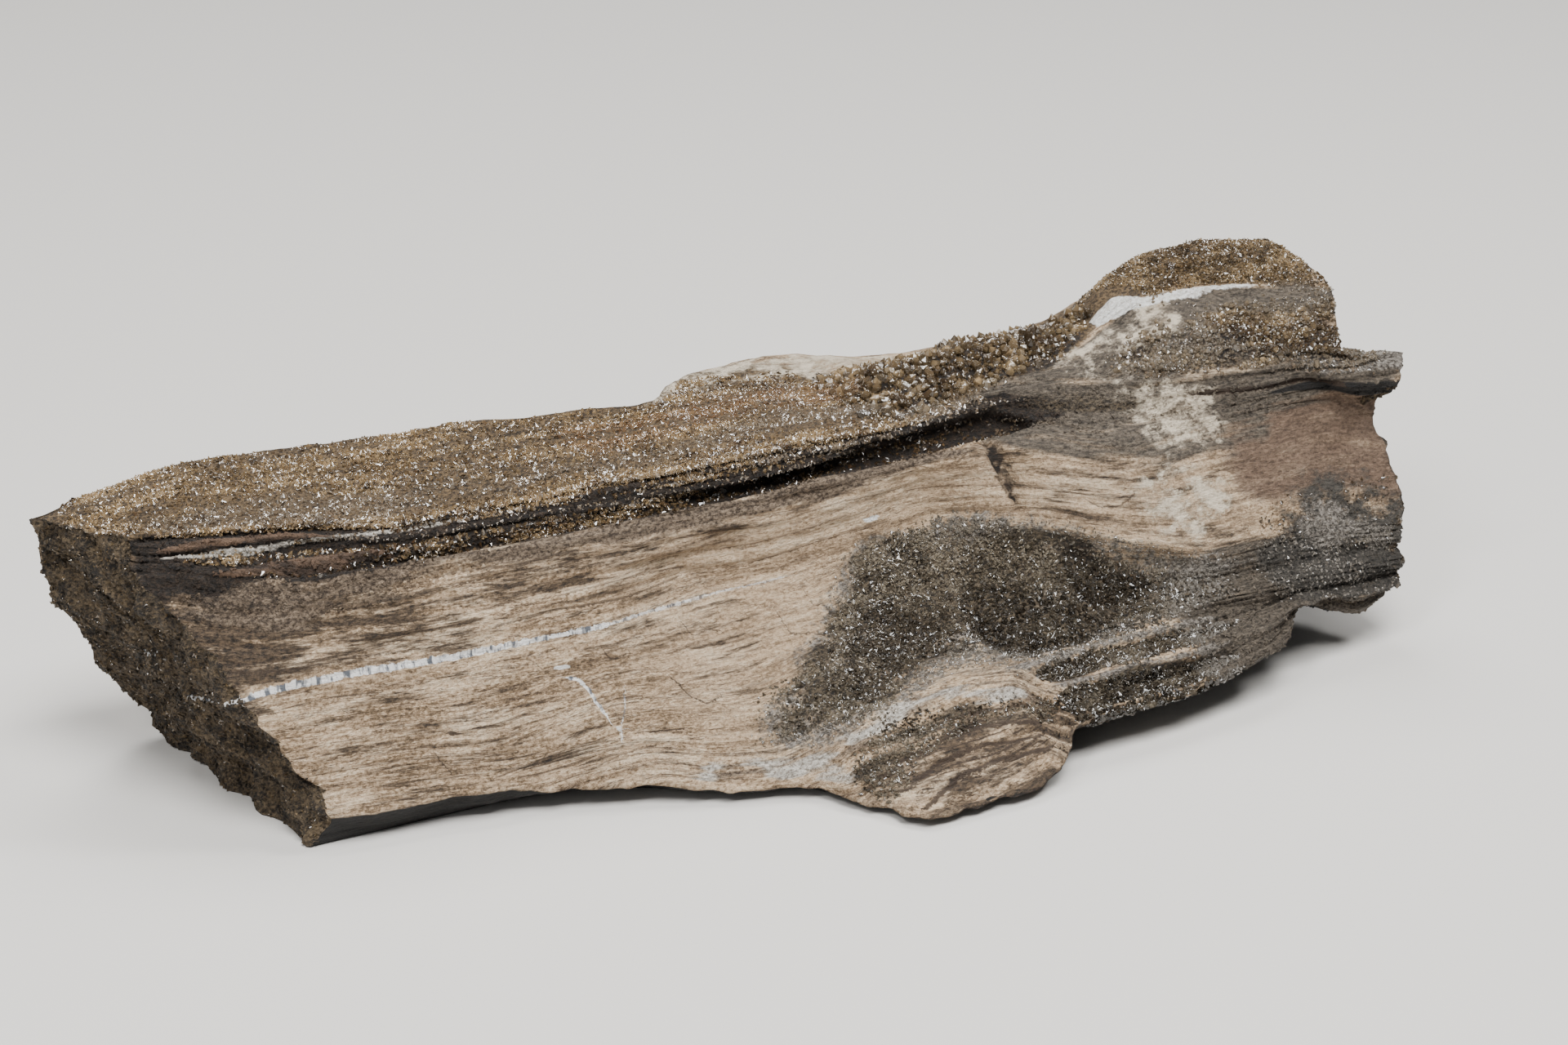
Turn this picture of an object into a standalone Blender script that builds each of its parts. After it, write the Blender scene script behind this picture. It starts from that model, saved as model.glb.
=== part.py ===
"""Petrified wood with quartz crystals: a split length of silicified log that lies on its flat underside.

The wood is one closed solid, lofted around rails. A rail is a line along the grain, from the broken left end to
the broken right end, and holds a few hand-set points (x, y, z) in millimetres. Round the section, from rail to
rail, the skin is a curve that is smooth at some rails and creased at others. The hollow, the ledges and the
lumps are then pushed into or out of that skin. Quartz grows on five areas of it. Each of these crusts is a
closed shell whose outer side is a field of flat-faced pyramids.

X runs along the grain, Y to the back and Z up. The rails' zero is the foot of the front left corner, and DATUM
moves the finished solids so that the origin is under the middle of the whole specimen.
"""
import bmesh
import bpy
import numpy as np

MM = 0.001
DATUM = (-59.4, -6.8, 0.0)

# Rails in order round the section: name, softness (0 creased, 1 smooth), rows of skin to the next rail, points.
RAILS = [
    ("base_back", 0.0, 1, [(-7, 32, 0), (10, 33, 0), (40, 31, 0), (70, 31, 0), (95, 27, 0), (112, 22, 3),
                           (131, 14, 8)]),
    ("back_low", 0.5, 2, [(-9.5, 33, 4.5), (10, 36, 6), (40, 36, 6), (70, 38, 6), (95, 33, 6), (115, 27, 8),
                          (133, 18, 13)]),
    ("back_mid", 1.0, 2, [(-15.5, 31, 15), (5, 38, 17), (30, 36, 17), (60, 41, 16), (80, 41, 16), (100, 36, 17),
                          (120, 30, 19), (136, 20, 19)]),
    ("back_high", 1.0, 2, [(-18, 31.5, 24), (0, 36, 26), (30, 31, 27), (52, 29, 26), (62, 37, 25), (80, 39, 25),
                           (100, 34, 25), (120, 29, 26), (137, 19, 24)]),
    ("back_top", 0.35, 2, [(-19.5, 31.5, 31), (-14, 33.5, 31.5), (0, 31.5, 33.5), (22, 27.5, 33.7),
                           (24.5, 26.5, 34.7), (42, 24.5, 34.7), (51, 24, 33.8), (57, 30, 32), (63, 35, 31),
                           (72, 36.5, 31), (89, 33, 30.5), (115, 28, 31), (127, 22, 31), (136.5, 15, 28.5)]),
    ("top_back", 1.0, 2, [(-18.5, 28.8, 31.3), (-9, 29.3, 32.6), (6, 27, 33.4), (24, 23.5, 34.2),
                          (42, 21.8, 34.3), (52, 22, 33.4), (60, 28, 32), (74, 29, 31), (82, 24, 32.5),
                          (98, 21, 34.5), (106, 20.5, 36.5), (110, 19, 40.5), (118, 17, 42.8), (127, 14.5, 43),
                          (133.5, 11, 39)]),
    ("crest", 1.0, 2, [(-17, 26.5, 31.3), (-6, 25.5, 32.8), (10, 22.5, 33), (26, 19.5, 33.6), (42, 18.5, 33.8),
                       (60, 20, 32.8), (75, 18, 32.8), (78.5, 16, 35.8), (88, 14, 37.8), (104.5, 13.3, 38.6),
                       (107.5, 14, 42), (113, 13.6, 45), (123, 10, 46.5), (129, 9, 46.5), (132.5, 6, 44.5)]),
    ("top_front", 1.0, 1, [(-15, 24, 31.2), (-5, 21, 32), (10, 17, 32.3), (26, 14.5, 32.6), (42, 14, 32.8),
                           (60, 14, 32.5), (75, 13, 33), (79, 11.5, 35.3), (89, 10.5, 36.6), (99, 8.5, 37.3),
                           (105, 8.3, 39.5), (112, 8.5, 41.3), (125, 4.5, 42.2), (132.3, 0, 42.6)]),
    ("brow", 1.0, 1, [(-14.2, 22.6, 31.2), (5, 16.2, 32), (16, 12.8, 32), (36, 12, 32.2), (60, 10.6, 32.4),
                      (76, 9.2, 33), (80, 8.6, 34.2), (90, 8, 35.2), (99, 6, 36), (106, 4, 37.5),
                      (115, 0.5, 38.8), (124, -3.2, 39), (130, -5.4, 38.8)]),
    ("lip", 0.2, 1, [(-13, 20.5, 31), (-9, 19, 31.5), (5, 14, 31.5), (16, 10, 31.5), (36, 9.5, 31.5),
                     (50, 8, 32), (76, 6.4, 33), (87, 6.5, 34), (97, 4.3, 34.5), (106, 0.4, 35.2),
                     (115, -2.6, 36), (130, -6.2, 36.2), (137, -8, 35.3)]),
    ("shelf", 0.0, 1, [(-12.7, 19.3, 29.6), (-9, 17.6, 29.3), (5, 12.5, 29), (16, 9, 28.9), (36, 8.6, 28.9),
                       (50, 7.5, 29), (76, 5.6, 29.8), (90, 4.4, 30.6), (100, -0.5, 31.5), (115, -3.5, 32),
                       (127, -4.2, 32.3), (134.5, -4.8, 31.6)]),
    ("tan_top", 0.6, 3, [(-12.4, 18.5, 28.6), (-2, 11.5, 28), (8, 7.6, 28), (24, 6.6, 28), (54, 5.7, 28),
                         (74, 4, 28.8), (85, 2.6, 29.3), (94, -1.2, 29.5), (102, -4.7, 29.5), (126, -5.4, 30.3),
                         (136, -6.4, 29)]),
    ("vein", 1.0, 5, [(-5.2, 5.9, 16.8), (14, 3.9, 17), (34, 3.6, 17), (52, 5.6, 17), (60, 4, 17.7),
                      (69, 3.3, 19), (79, 2.7, 20.8), (88, -2.3, 21), (100, -10, 19.5), (107, -12.6, 18.5),
                      (122, -11.5, 18), (137, -11.2, 15.5)]),
    ("hollow_low", 0.8, 3, [(0.2, 1.5, 8), (12, 0.2, 8), (24, -2.2, 7.3), (37, -5.4, 6.7), (49, -9.5, 5.8),
                            (61, -13.3, 8.2), (72, -12.4, 9.2), (80, -14.5, 10), (97, -15.4, 11.5),
                            (120, -15.4, 11), (136.2, -12.6, 9)]),
    ("front_edge", 0.0, 1, [(2.2, -1.6, 4), (19, -3.7, 4), (28, -5.5, 3), (37, -8.8, 2.8), (45, -12.9, 1.6),
                            (53.4, -16, 1.6), (57.5, -22, 1.2), (61.5, -27.6, 1.2), (72, -27.6, 1.3),
                            (79.6, -26, 2.2), (83.5, -23, 5), (98, -22.2, 5), (109, -20.8, 6), (115, -18.5, 6.5),
                            (121.5, -13.6, 7.8), (129, -14, 6), (135.6, -11.4, 7)]),
    ("base_front", 0.0, 3, [(0, 0, 0), (20, -0.1, 0), (30, -1, 0), (42, -7, 0), (52, -11, 0), (62, -20, 0),
                            (72, -20, 0), (82, -15, 0), (100, -10, 0), (112, -6, 2.5), (131, -4, 6)]),
]
NAMES = [name for name, soft, rows, points in RAILS]

COLUMNS = 66                    # cells of skin along the grain
END_RINGS = (0.28, 0.55, 0.8)   # rings of each broken end, as shares of the way to its middle
END_MIDDLE = {"left": (-7.5, 16.5, 15.0), "right": (134.5, 3.0, 22.0)}

HOLLOW_DEPTH = 3.6
HOLLOW_LEFT = (54.8, 68.8)      # x where it starts: low down, and at the height of the vein
HOLLOW_RAMP = 9.0               # over this length it reaches its depth
HOLLOW_RIGHT = (96.0, 112.0)    # x over which it runs out
LEDGE_HEIGHT = 0.7              # the ledges to the right of the hollow
LEDGE_START = (84.0, 98.0)
LEDGES_PER_RAIL = 1.6
GRAIN = (0.35, 1.0, 1.0)        # a lump that follows the grain is longer by this squeeze of its noise

# Lumps: height, size across, seed, squeeze.
LUMPS = [(0.72, 15.0, 3, (1, 1, 1)), (0.36, 6.5, 5, (1, 1, 1)), (0.4, 4.0, 8, GRAIN)]
END_LUMPS = [(2.2, 9.0, 11, (1, 1, 1)), (0.9, 4.0, 12, (1, 1, 1))]
NO_LUMPS = 0.2                  # height over the floor up to which the underside stays flat
FULL_LUMPS = 3.5

GAP = 0.3                       # between a crust and the wood that carries it
CRUST = 0.9                     # a crust's thickness under its crystals
RIM = 0.4                       # and its thickness along its rim
BED = 0.9                       # how deep the wood is sunk inside a crust's rim
LEAN = 0.5                      # how far a crystal's tip leans


def rail_at(points, u):
    """The point of a rail at share u of its length: a cubic through its points that never overshoots them."""
    knots = np.array(points, float)
    x, values = knots[:, 0], knots[:, 1:]
    slope = np.diff(values, axis=0) / np.diff(x)[:, None]
    before, after = slope[:-1], slope[1:]
    with np.errstate(divide="ignore", invalid="ignore"):
        harmonic = 2 * before * after / (before + after)
    inner = np.where(before * after > 0, harmonic, 0.0)
    tangent = np.vstack([slope[:1], inner, slope[-1:]])
    here = x[0] + u * (x[-1] - x[0])
    cell = np.clip(np.searchsorted(x, here) - 1, 0, len(x) - 2)
    width = (x[cell + 1] - x[cell])[:, None]
    t = (here - x[cell])[:, None] / width
    start = values[cell] * (1 + 2 * t) * (1 - t) ** 2 + tangent[cell] * width * t * (1 - t) ** 2
    end = values[cell + 1] * t * t * (3 - 2 * t) - tangent[cell + 1] * width * t * t * (1 - t)
    return np.column_stack([here, start + end])


def noise(points, size, seed):
    """Smooth noise from -1 to 1: values hashed at the corners of a lattice of that cell size, then blended."""
    scaled = points / size + 1000.0
    low = np.floor(scaled).astype(np.int64)
    part = scaled - low
    part = part * part * (3 - 2 * part)
    total = np.zeros(points.shape[:-1])
    for corner in np.ndindex(2, 2, 2):
        at = low + np.array(corner)
        key = (at[..., 0] * 73856093) ^ (at[..., 1] * 19349663) ^ (at[..., 2] * 83492791) ^ (seed * 2654435)
        key = (key ^ (key >> 13)) * 1274126177 & 0x7FFFFFFF
        value = ((key ^ (key >> 16)) & 0xFFFF) / 32767.5 - 1
        weight = np.prod(np.where(np.array(corner) == 1, part, 1 - part), axis=-1)
        total += value * weight
    return total


def step(low, high, value):
    """0 below low, 1 above high, and a smooth rise between."""
    t = np.clip((value - low) / (high - low), 0, 1)
    return t * t * (3 - 2 * t)


def plain_skin():
    """The loft before relief: points by column and row, and each row's place round the section in rails."""
    u = np.linspace(0, 1, COLUMNS + 1)
    rails = np.array([rail_at(points, u) for name, soft, rows, points in RAILS])
    ahead = np.roll(rails, -1, axis=0) - rails
    length = np.linalg.norm(ahead, axis=2, keepdims=True)
    behind, behind_length = np.roll(ahead, 1, axis=0), np.roll(length, 1, axis=0)
    along = (ahead + behind) / (length + behind_length)
    soft = np.array([rail[1] for rail in RAILS])[:, None, None]
    leaving = ahead * (1 - soft) + along * length * soft
    arriving = behind * (1 - soft) + along * behind_length * soft
    rows, places = [], []
    for k, (name, softness, count, points) in enumerate(RAILS):
        after = (k + 1) % len(RAILS)
        for t in np.arange(count) / count:
            rows.append(rails[k] * (1 + 2 * t) * (1 - t) ** 2 + leaving[k] * t * (1 - t) ** 2
                        + rails[after] * t * t * (3 - 2 * t) - arriving[after] * t * t * (1 - t))
            places.append(k + t)
    return np.array(rows).transpose(1, 0, 2), np.array(places)


def skin_normals(skin):
    """Unit normals of the lofted skin, pointing out."""
    along = np.gradient(skin, axis=0)
    round_ = np.roll(skin, -1, axis=1) - np.roll(skin, 1, axis=1)
    normal = np.cross(round_, along)
    return normal / np.linalg.norm(normal, axis=2, keepdims=True)


def lumpy(points, lumps):
    """The sum of several sizes of noise, fading out near the floor."""
    total = sum(height * noise(points * np.array(squeeze), size, seed) for height, size, seed, squeeze in lumps)
    return total * step(NO_LUMPS, FULL_LUMPS, points[..., 2])


def relief(skin, places):
    """How far the skin moves out, in millimetres: the hollow, the ledges to its right, and the lumps."""
    x = skin[..., 0]
    vein, low, edge = NAMES.index("vein"), NAMES.index("hollow_low"), NAMES.index("front_edge")
    left = np.interp(places, (vein, low), HOLLOW_LEFT[::-1])
    along = step(0, HOLLOW_RAMP, x - left) * (1 - step(*HOLLOW_RIGHT, x))
    across = step(vein - 0.05, vein + 0.35, places) * (1 - step(low - 0.25, low + 0.1, places))
    wave = np.sin((places - vein) * 2 * np.pi * LEDGES_PER_RAIL)
    band = step(vein + 0.3, vein + 0.6, places) * (1 - step(edge - 0.3, edge, places))
    ledges = LEDGE_HEIGHT * wave * band * step(*LEDGE_START, x)
    return ledges - HOLLOW_DEPTH * along * across + lumpy(skin, LUMPS)


def covered_cells(places, stations):
    """The cells of skin under a crust, by column and row. Each station gives a share of the length, and the
    first and last rail place that the crust reaches there."""
    shares, first, last = np.array(stations).T
    cells = set()
    for i in range(round(shares[0] * COLUMNS), round(shares[-1] * COLUMNS)):
        share = (i + 0.5) / COLUMNS
        low, high = np.interp(share, shares, first), np.interp(share, shares, last)
        cells.update((i, int(j)) for j in np.flatnonzero((places > low - 0.1) & (places < high - 0.1)))
    return cells


def is_inside(cells, i, j):
    """Whether all four cells round a corner of the skin are covered, so that it isn't on a crust's rim."""
    return {(i - 1, j - 1), (i - 1, j), (i, j - 1), (i, j)} <= cells


def wood_skin(places, skin, covers):
    """The finished skin and its normals: the loft, its relief, and a shallow bed sunk inside each crust's rim."""
    skin = skin + skin_normals(skin) * relief(skin, places)[..., None]
    skin[..., 2] = np.maximum(skin[..., 2], 0.0)
    normals = skin_normals(skin)
    bed = np.zeros(skin.shape[:2])
    for cells in covers:
        for i, j in cells:
            bed[i, j] = BED * is_inside(cells, i, j)
    return skin - normals * bed[..., None], normals


def make_material(name, colour, roughness):
    """A plain mineral finish."""
    material = bpy.data.materials.new(name)
    material.use_nodes = True
    shader = material.node_tree.nodes["Principled BSDF"]
    shader.inputs["Base Color"].default_value = (*colour, 1.0)
    shader.inputs["Roughness"].default_value = roughness
    return material


def add_solid(name, points, faces, material):
    """A named object from points in the rails' millimetres and faces, with its normals turned outward."""
    mesh = bpy.data.meshes.new(name)
    moved = (np.array(points) + np.array(DATUM)) * MM
    mesh.from_pydata(moved.tolist(), [], faces)
    shape = bmesh.new()
    shape.from_mesh(mesh)
    bmesh.ops.recalc_face_normals(shape, faces=shape.faces)
    shape.to_mesh(mesh)
    shape.free()
    mesh.materials.append(material)
    solid = bpy.data.objects.new(name, mesh)
    bpy.context.scene.collection.objects.link(solid)
    return solid


def add_wood(skin, material):
    """The wood: the skin's cells as triangle pairs, and each broken end as rings that close on a middle."""
    columns, rows = skin.shape[0], skin.shape[1]
    points = [tuple(p) for p in skin.reshape(-1, 3)]
    faces = []
    for i in range(columns - 1):
        for j in range(rows):
            a, b = i * rows + j, i * rows + (j + 1) % rows
            c, d = b + rows, a + rows
            faces += [(a, b, c), (a, c, d)]
    for side, column in (("left", 0), ("right", columns - 1)):
        loop, middle = skin[column], np.array(END_MIDDLE[side])
        last = [column * rows + j for j in range(rows)]
        outward = -1.0 if side == "left" else 1.0
        for share in END_RINGS:
            ring = loop + (middle - loop) * share
            ring[:, 0] += outward * lumpy(ring, END_LUMPS)
            fresh = list(range(len(points), len(points) + rows))
            points += [tuple(p) for p in ring]
            for j in range(rows):
                k = (j + 1) % rows
                faces += [(last[j], last[k], fresh[k]), (last[j], fresh[k], fresh[j])]
            last = fresh
        points.append(tuple(middle))
        faces += [(last[j], last[(j + 1) % rows], len(points) - 1) for j in range(rows)]
    return add_solid("petrified_wood", points, faces, material)


def add_crust(name, skin, normals, cells, crystal, seed, material):
    """A crust over the given cells: a shell whose outer side carries one crystal, a pyramid, on each cell.

    crystal is the least and the greatest height of a crystal's tip over the crust.
    """
    chance = np.random.RandomState(seed)
    points, faces, numbers = [], [], {}

    def corner(i, j, outer):
        key = (i, j, outer)
        if key not in numbers:
            thickness = CRUST if is_inside(cells, i, j) else RIM
            numbers[key] = len(points)
            points.append(tuple(skin[i, j] + normals[i, j] * (GAP + thickness * outer)))
        return numbers[key]

    for i, j in sorted(cells):
        ring = [(i, j), (i, j + 1), (i + 1, j + 1), (i + 1, j)]
        middle = np.mean([skin[c] for c in ring], axis=0)
        normal = np.mean([normals[c] for c in ring], axis=0)
        tip = middle + normal * (GAP + CRUST + chance.uniform(*crystal)) + chance.uniform(-LEAN, LEAN, 3)
        inner = [corner(*c, 0) for c in ring]
        outer = [corner(*c, 1) for c in ring]
        points.append(tuple(tip))
        apex = len(points) - 1
        faces += [(outer[k], outer[(k + 1) % 4], apex) for k in range(4)]
        faces += [(inner[2], inner[1], inner[0]), (inner[3], inner[2], inner[0])]
        beside = [(i - 1, j), (i, j + 1), (i + 1, j), (i, j - 1)]
        for k, neighbour in enumerate(beside):
            if neighbour not in cells:
                faces.append((inner[k], inner[(k + 1) % 4], outer[(k + 1) % 4], outer[k]))
    return add_solid(name, points, faces, material)


def main():
    for old in list(bpy.data.objects):
        bpy.data.objects.remove(old)
    stone = make_material("silicified_wood", (0.36, 0.25, 0.16), 0.8)
    golden = make_material("golden_quartz", (0.30, 0.19, 0.09), 0.35)
    smoky = make_material("smoky_quartz", (0.07, 0.06, 0.05), 0.3)
    plain, places = plain_skin()
    at = {name: float(k) for k, name in enumerate(NAMES)}
    crusts = [
        ("top_druse", [(0.03, at["back_top"] + 0.5, at["lip"]), (0.61, at["back_top"] + 0.5, at["lip"])],
         (0.3, 1.0), 21, golden),
        ("shoulder_crystals", [(0.63, at["top_back"] + 0.5, at["lip"]), (0.8, at["top_back"] + 0.5, at["lip"])],
         (0.9, 2.0), 22, golden),
        ("knob_cap_crystals", [(0.835, at["top_back"] + 0.5, at["crest"] + 0.5),
                               (0.95, at["top_back"] + 0.5, at["crest"] + 0.5)], (0.4, 1.0), 23, golden),
        ("knob_row_crystals", [(0.86, at["top_front"], at["lip"]), (0.97, at["top_front"], at["lip"])],
         (0.7, 1.6), 24, golden),
        ("hollow_crystals", [(0.36, at["hollow_low"] - 0.2, at["hollow_low"]),
                             (0.46, at["vein"] + 0.6, at["hollow_low"]),
                             (0.56, at["vein"] + 0.2, at["hollow_low"]),
                             (0.62, at["vein"], at["hollow_low"] + 0.4),
                             (0.8, at["vein"], at["hollow_low"] + 0.7),
                             (0.88, at["vein"] + 0.4, at["hollow_low"] + 0.05)], (0.6, 1.6), 25, smoky),
    ]
    covers = [covered_cells(places, stations) for name, stations, crystal, seed, material in crusts]
    skin, normals = wood_skin(places, plain, covers)
    add_wood(skin, stone)
    for cells, (name, stations, crystal, seed, material) in zip(covers, crusts):
        add_crust(name, skin, normals, cells, crystal, seed, material)


main()
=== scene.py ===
import math

import bpy
import numpy as np
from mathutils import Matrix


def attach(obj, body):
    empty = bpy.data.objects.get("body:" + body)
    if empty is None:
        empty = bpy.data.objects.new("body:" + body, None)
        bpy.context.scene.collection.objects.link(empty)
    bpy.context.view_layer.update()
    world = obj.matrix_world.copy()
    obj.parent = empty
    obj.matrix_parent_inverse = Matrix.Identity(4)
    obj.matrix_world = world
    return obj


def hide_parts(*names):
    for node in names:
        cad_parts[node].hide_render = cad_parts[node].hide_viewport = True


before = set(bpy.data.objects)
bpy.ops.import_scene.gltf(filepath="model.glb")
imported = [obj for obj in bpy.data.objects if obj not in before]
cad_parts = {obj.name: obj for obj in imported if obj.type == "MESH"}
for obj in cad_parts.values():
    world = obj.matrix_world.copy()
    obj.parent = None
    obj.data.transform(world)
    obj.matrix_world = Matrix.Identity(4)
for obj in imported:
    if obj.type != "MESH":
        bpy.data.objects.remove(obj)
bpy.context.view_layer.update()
mm = 0.001

# A length of petrified wood with quartz crystals, lying on its flat underside. All measures here are
# millimetres from the foot of the front left corner; datum moves them into the frame.
datum = np.array((-59.4, -6.8, 0.0))

view = {
    "place": (-87.4, -279.6, 167.0),
    "turn": -27.4,                 # degrees to the left of straight on
    "down": 24.0,
    "lens": 70.0,
    "sensor": 36.0,
}

camera = bpy.data.objects.new("camera", bpy.data.cameras.new("camera"))
camera.data.lens = view["lens"]
camera.data.sensor_width = view["sensor"]
camera.data.clip_start = 0.01
camera.location = (np.array(view["place"]) + datum) * mm
camera.rotation_euler = (math.radians(90 - view["down"]), 0, math.radians(view["turn"]))
bpy.context.scene.collection.objects.link(camera)
bpy.context.scene.camera = camera
print("camera set")

# Rails run along the grain, in order round the section. Each has its softness (0 a crease, 1 smooth), the
# rows of skin up to the next rail, that skin's width in the grain pattern in mm, and its points x, y, z.
rails = {
    "baseBack": (0.0, 3, 6, [(-7, 32, 0), (10, 33, 0), (40, 31, 0), (70, 31, 0), (95, 27, 0), (112, 22, 3),
        (131, 14, 8)]),
    "backLow": (0.5, 8, 11, [(-9.5, 33, 4.5), (10, 36, 6), (40, 36, 6), (70, 38, 6), (95, 33, 6),
        (115, 27, 8), (133, 18, 13)]),
    "backMid": (1.0, 8, 10, [(-15.5, 31, 15), (5, 38, 17), (30, 36, 17), (60, 41, 16), (80, 41, 16),
        (100, 36, 17), (120, 30, 19), (136, 20, 19)]),
    "backHigh": (1.0, 8, 8, [(-18, 31.5, 24), (0, 36, 26), (30, 31, 27), (52, 29, 26), (62, 37, 25),
        (80, 39, 25), (100, 34, 25), (120, 29, 26), (137, 19, 24)]),
    "backTop": (0.35, 9, 4, [(-19.5, 31.5, 31), (-14, 33.5, 31.5), (0, 31.5, 33.5), (22, 27.5, 33.7),
        (24.5, 26.5, 34.7), (42, 24.5, 34.7), (51, 24, 33.8), (57, 30, 32), (63, 35, 31), (72, 36.5, 31),
        (89, 33, 30.5), (115, 28, 31), (127, 22, 31), (136.5, 15, 28.5)]),
    "topBack": (1.0, 10, 6, [(-18.5, 28.8, 31.3), (-9, 29.3, 32.6), (6, 27, 33.4), (24, 23.5, 34.2),
        (42, 21.8, 34.3), (52, 22, 33.4), (60, 28, 32), (74, 29, 31), (82, 24, 32.5), (98, 21, 34.5),
        (106, 20.5, 36.5), (110, 19, 40.5), (118, 17, 42.8), (127, 14.5, 43), (133.5, 11, 39)]),
    "crest": (1.0, 10, 6, [(-17, 26.5, 31.3), (-6, 25.5, 32.8), (10, 22.5, 33), (26, 19.5, 33.6),
        (42, 18.5, 33.8), (60, 20, 32.8), (75, 18, 32.8), (78.5, 16, 35.8), (88, 14, 37.8),
        (104.5, 13.3, 38.6), (107.5, 14, 42), (113, 13.6, 45), (123, 10, 46.5), (129, 9, 46.5),
        (132.5, 6, 44.5)]),
    "topFront": (1.0, 7, 4, [(-15, 24, 31.2), (-5, 21, 32), (10, 17, 32.3), (26, 14.5, 32.6),
        (42, 14, 32.8), (60, 14, 32.5), (75, 13, 33), (79, 11.5, 35.3), (89, 10.5, 36.6), (99, 8.5, 37.3),
        (105, 8.3, 39.5), (112, 8.5, 41.3), (125, 4.5, 42.2), (132.3, 0, 42.6)]),
    "brow": (1.0, 7, 3, [(-14.2, 22.6, 31.2), (5, 16.2, 32), (16, 12.8, 32), (36, 12, 32.2),
        (60, 10.6, 32.4), (76, 9.2, 33), (80, 8.6, 34.2), (90, 8, 35.2), (99, 6, 36), (106, 4, 37.5),
        (115, 0.5, 38.8), (124, -3.2, 38.8), (130.5, -5.8, 36.9)]),
    "lip": (0.2, 12, 3, [(-13, 20.5, 31), (-9, 19, 31.5), (5, 14, 31.5), (16, 10, 31.5), (36, 9.5, 31.5),
        (50, 8, 32), (76, 6.4, 33), (87, 6.5, 34), (97, 4.3, 34.5), (106, 0.4, 35.2), (115, -2.6, 36),
        (127, -5.4, 36), (131, -6.6, 35.5), (134.5, -7.6, 36.3), (137.3, -8.2, 36.0)]),
    "shelf": (0.0, 12, 3, [(-12.7, 19.3, 29.6), (-9, 17.6, 29.3), (5, 12.5, 29), (16, 9, 28.9),
        (36, 8.6, 28.9), (50, 7.5, 29), (76, 5.6, 29.8), (90, 4.4, 30.6), (100, -0.5, 31.5),
        (115, -3.5, 32), (124, -4.4, 32.7), (128, -6.0, 33.3), (131, -7.5, 33.4), (134.5, -9.0, 33.4),
        (136.4, -9.4, 33.4)]),
    "tanTop": (0.6, 32, 11, [(-12.4, 18.5, 28.6), (-2, 11.5, 28), (8, 7.6, 28), (24, 6.6, 28),
        (54, 5.7, 28), (74, 4, 28.8), (85, 2.6, 29.3), (94, -1.2, 29.5), (102, -4.7, 29.5),
        (126, -5.4, 30.3), (136, -6.4, 29)]),
    "vein": (1.0, 38, 13, [(-5.2, 5.9, 16.8), (14, 3.9, 17), (34, 3.6, 17), (52, 5.6, 17), (60, 4, 17.7),
        (69, 3.3, 19), (79, 2.7, 20.8), (88, -2.3, 21), (100, -10, 19.5), (107, -12.6, 18.5),
        (122, -11.5, 18), (137, -11.2, 15.5)]),
    "hollowLow": (0.8, 30, 9, [(0.2, 1.5, 8), (12, 0.2, 8), (24, -2.2, 7.3), (37, -5.4, 6.7),
        (49, -9.5, 5.8), (61, -13.3, 8.2), (72, -12.4, 9.2), (80, -14.5, 10), (97, -15.4, 11.5),
        (120, -15.4, 11), (136.2, -12.6, 9)]),
    "frontEdge": (0.0, 8, 5, [(2.2, -1.6, 4), (19, -3.7, 4), (28, -5.5, 3), (37, -8.8, 2.8),
        (45, -12.9, 1.6), (53.4, -16, 1.6), (57.5, -22, 1.2), (61.5, -27.6, 1.2), (72, -27.6, 1.3),
        (79.6, -26, 2.2), (83.5, -23, 5), (98, -22.2, 5), (109, -20.8, 6), (115, -18.5, 6.5),
        (121.5, -13.6, 7.8), (129, -14, 6), (135.6, -11.4, 7)]),
    "baseFront": (0.0, 24, 30, [(0, 0, 0), (20, -0.1, 0), (30, -1, 0), (42, -7, 0), (52, -11, 0),
        (62, -20, 0), (72, -20, 0), (82, -15, 0), (100, -10, 0), (112, -6, 2.5), (131, -4, 6)]),
}
at = {name: float(k) for k, name in enumerate(rails)}   # a rail's place in the order round the section


def linear(hexColour):
    # each sRGB channel to linear light by the usual curve
    parts = [int(hexColour[k:k + 2], 16) / 255 for k in (1, 3, 5)]
    return tuple(c / 12.92 if c <= 0.04045 else ((c + 0.055) / 1.055) ** 2.4 for c in parts) + (1.0,)


def rise(low, high, value):
    # 0 below low, 1 above high, and a cubic between
    t = np.clip((value - low) / (high - low), 0, 1)
    return t * t * (3 - 2 * t)


hashing = {"primes": (73856093, 19349663, 83492791), "seeds": 2654435, "mix": 1274126177, "shift": 1000.0}


def latticeNoise(points, size, seed):
    # values from -1 to 1 hashed at the corners of a lattice of that size, blended by a cubic
    scaled = points / size + hashing["shift"]
    low = np.floor(scaled).astype(np.int64)
    part = scaled - low
    part = part * part * (3 - 2 * part)
    total = np.zeros(points.shape[:-1])
    for corner in np.ndindex(2, 2, 2):
        x, y, z = np.moveaxis((low + np.array(corner)) * hashing["primes"], -1, 0)
        key = x ^ y ^ z ^ (seed * hashing["seeds"])
        key = (key ^ (key >> 13)) * hashing["mix"] & 0x7FFFFFFF
        value = ((key ^ (key >> 16)) & 0xFFFF) / 32767.5 - 1
        total += value * np.prod(np.where(np.array(corner) == 1, part, 1 - part), axis=-1)
    return total


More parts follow.
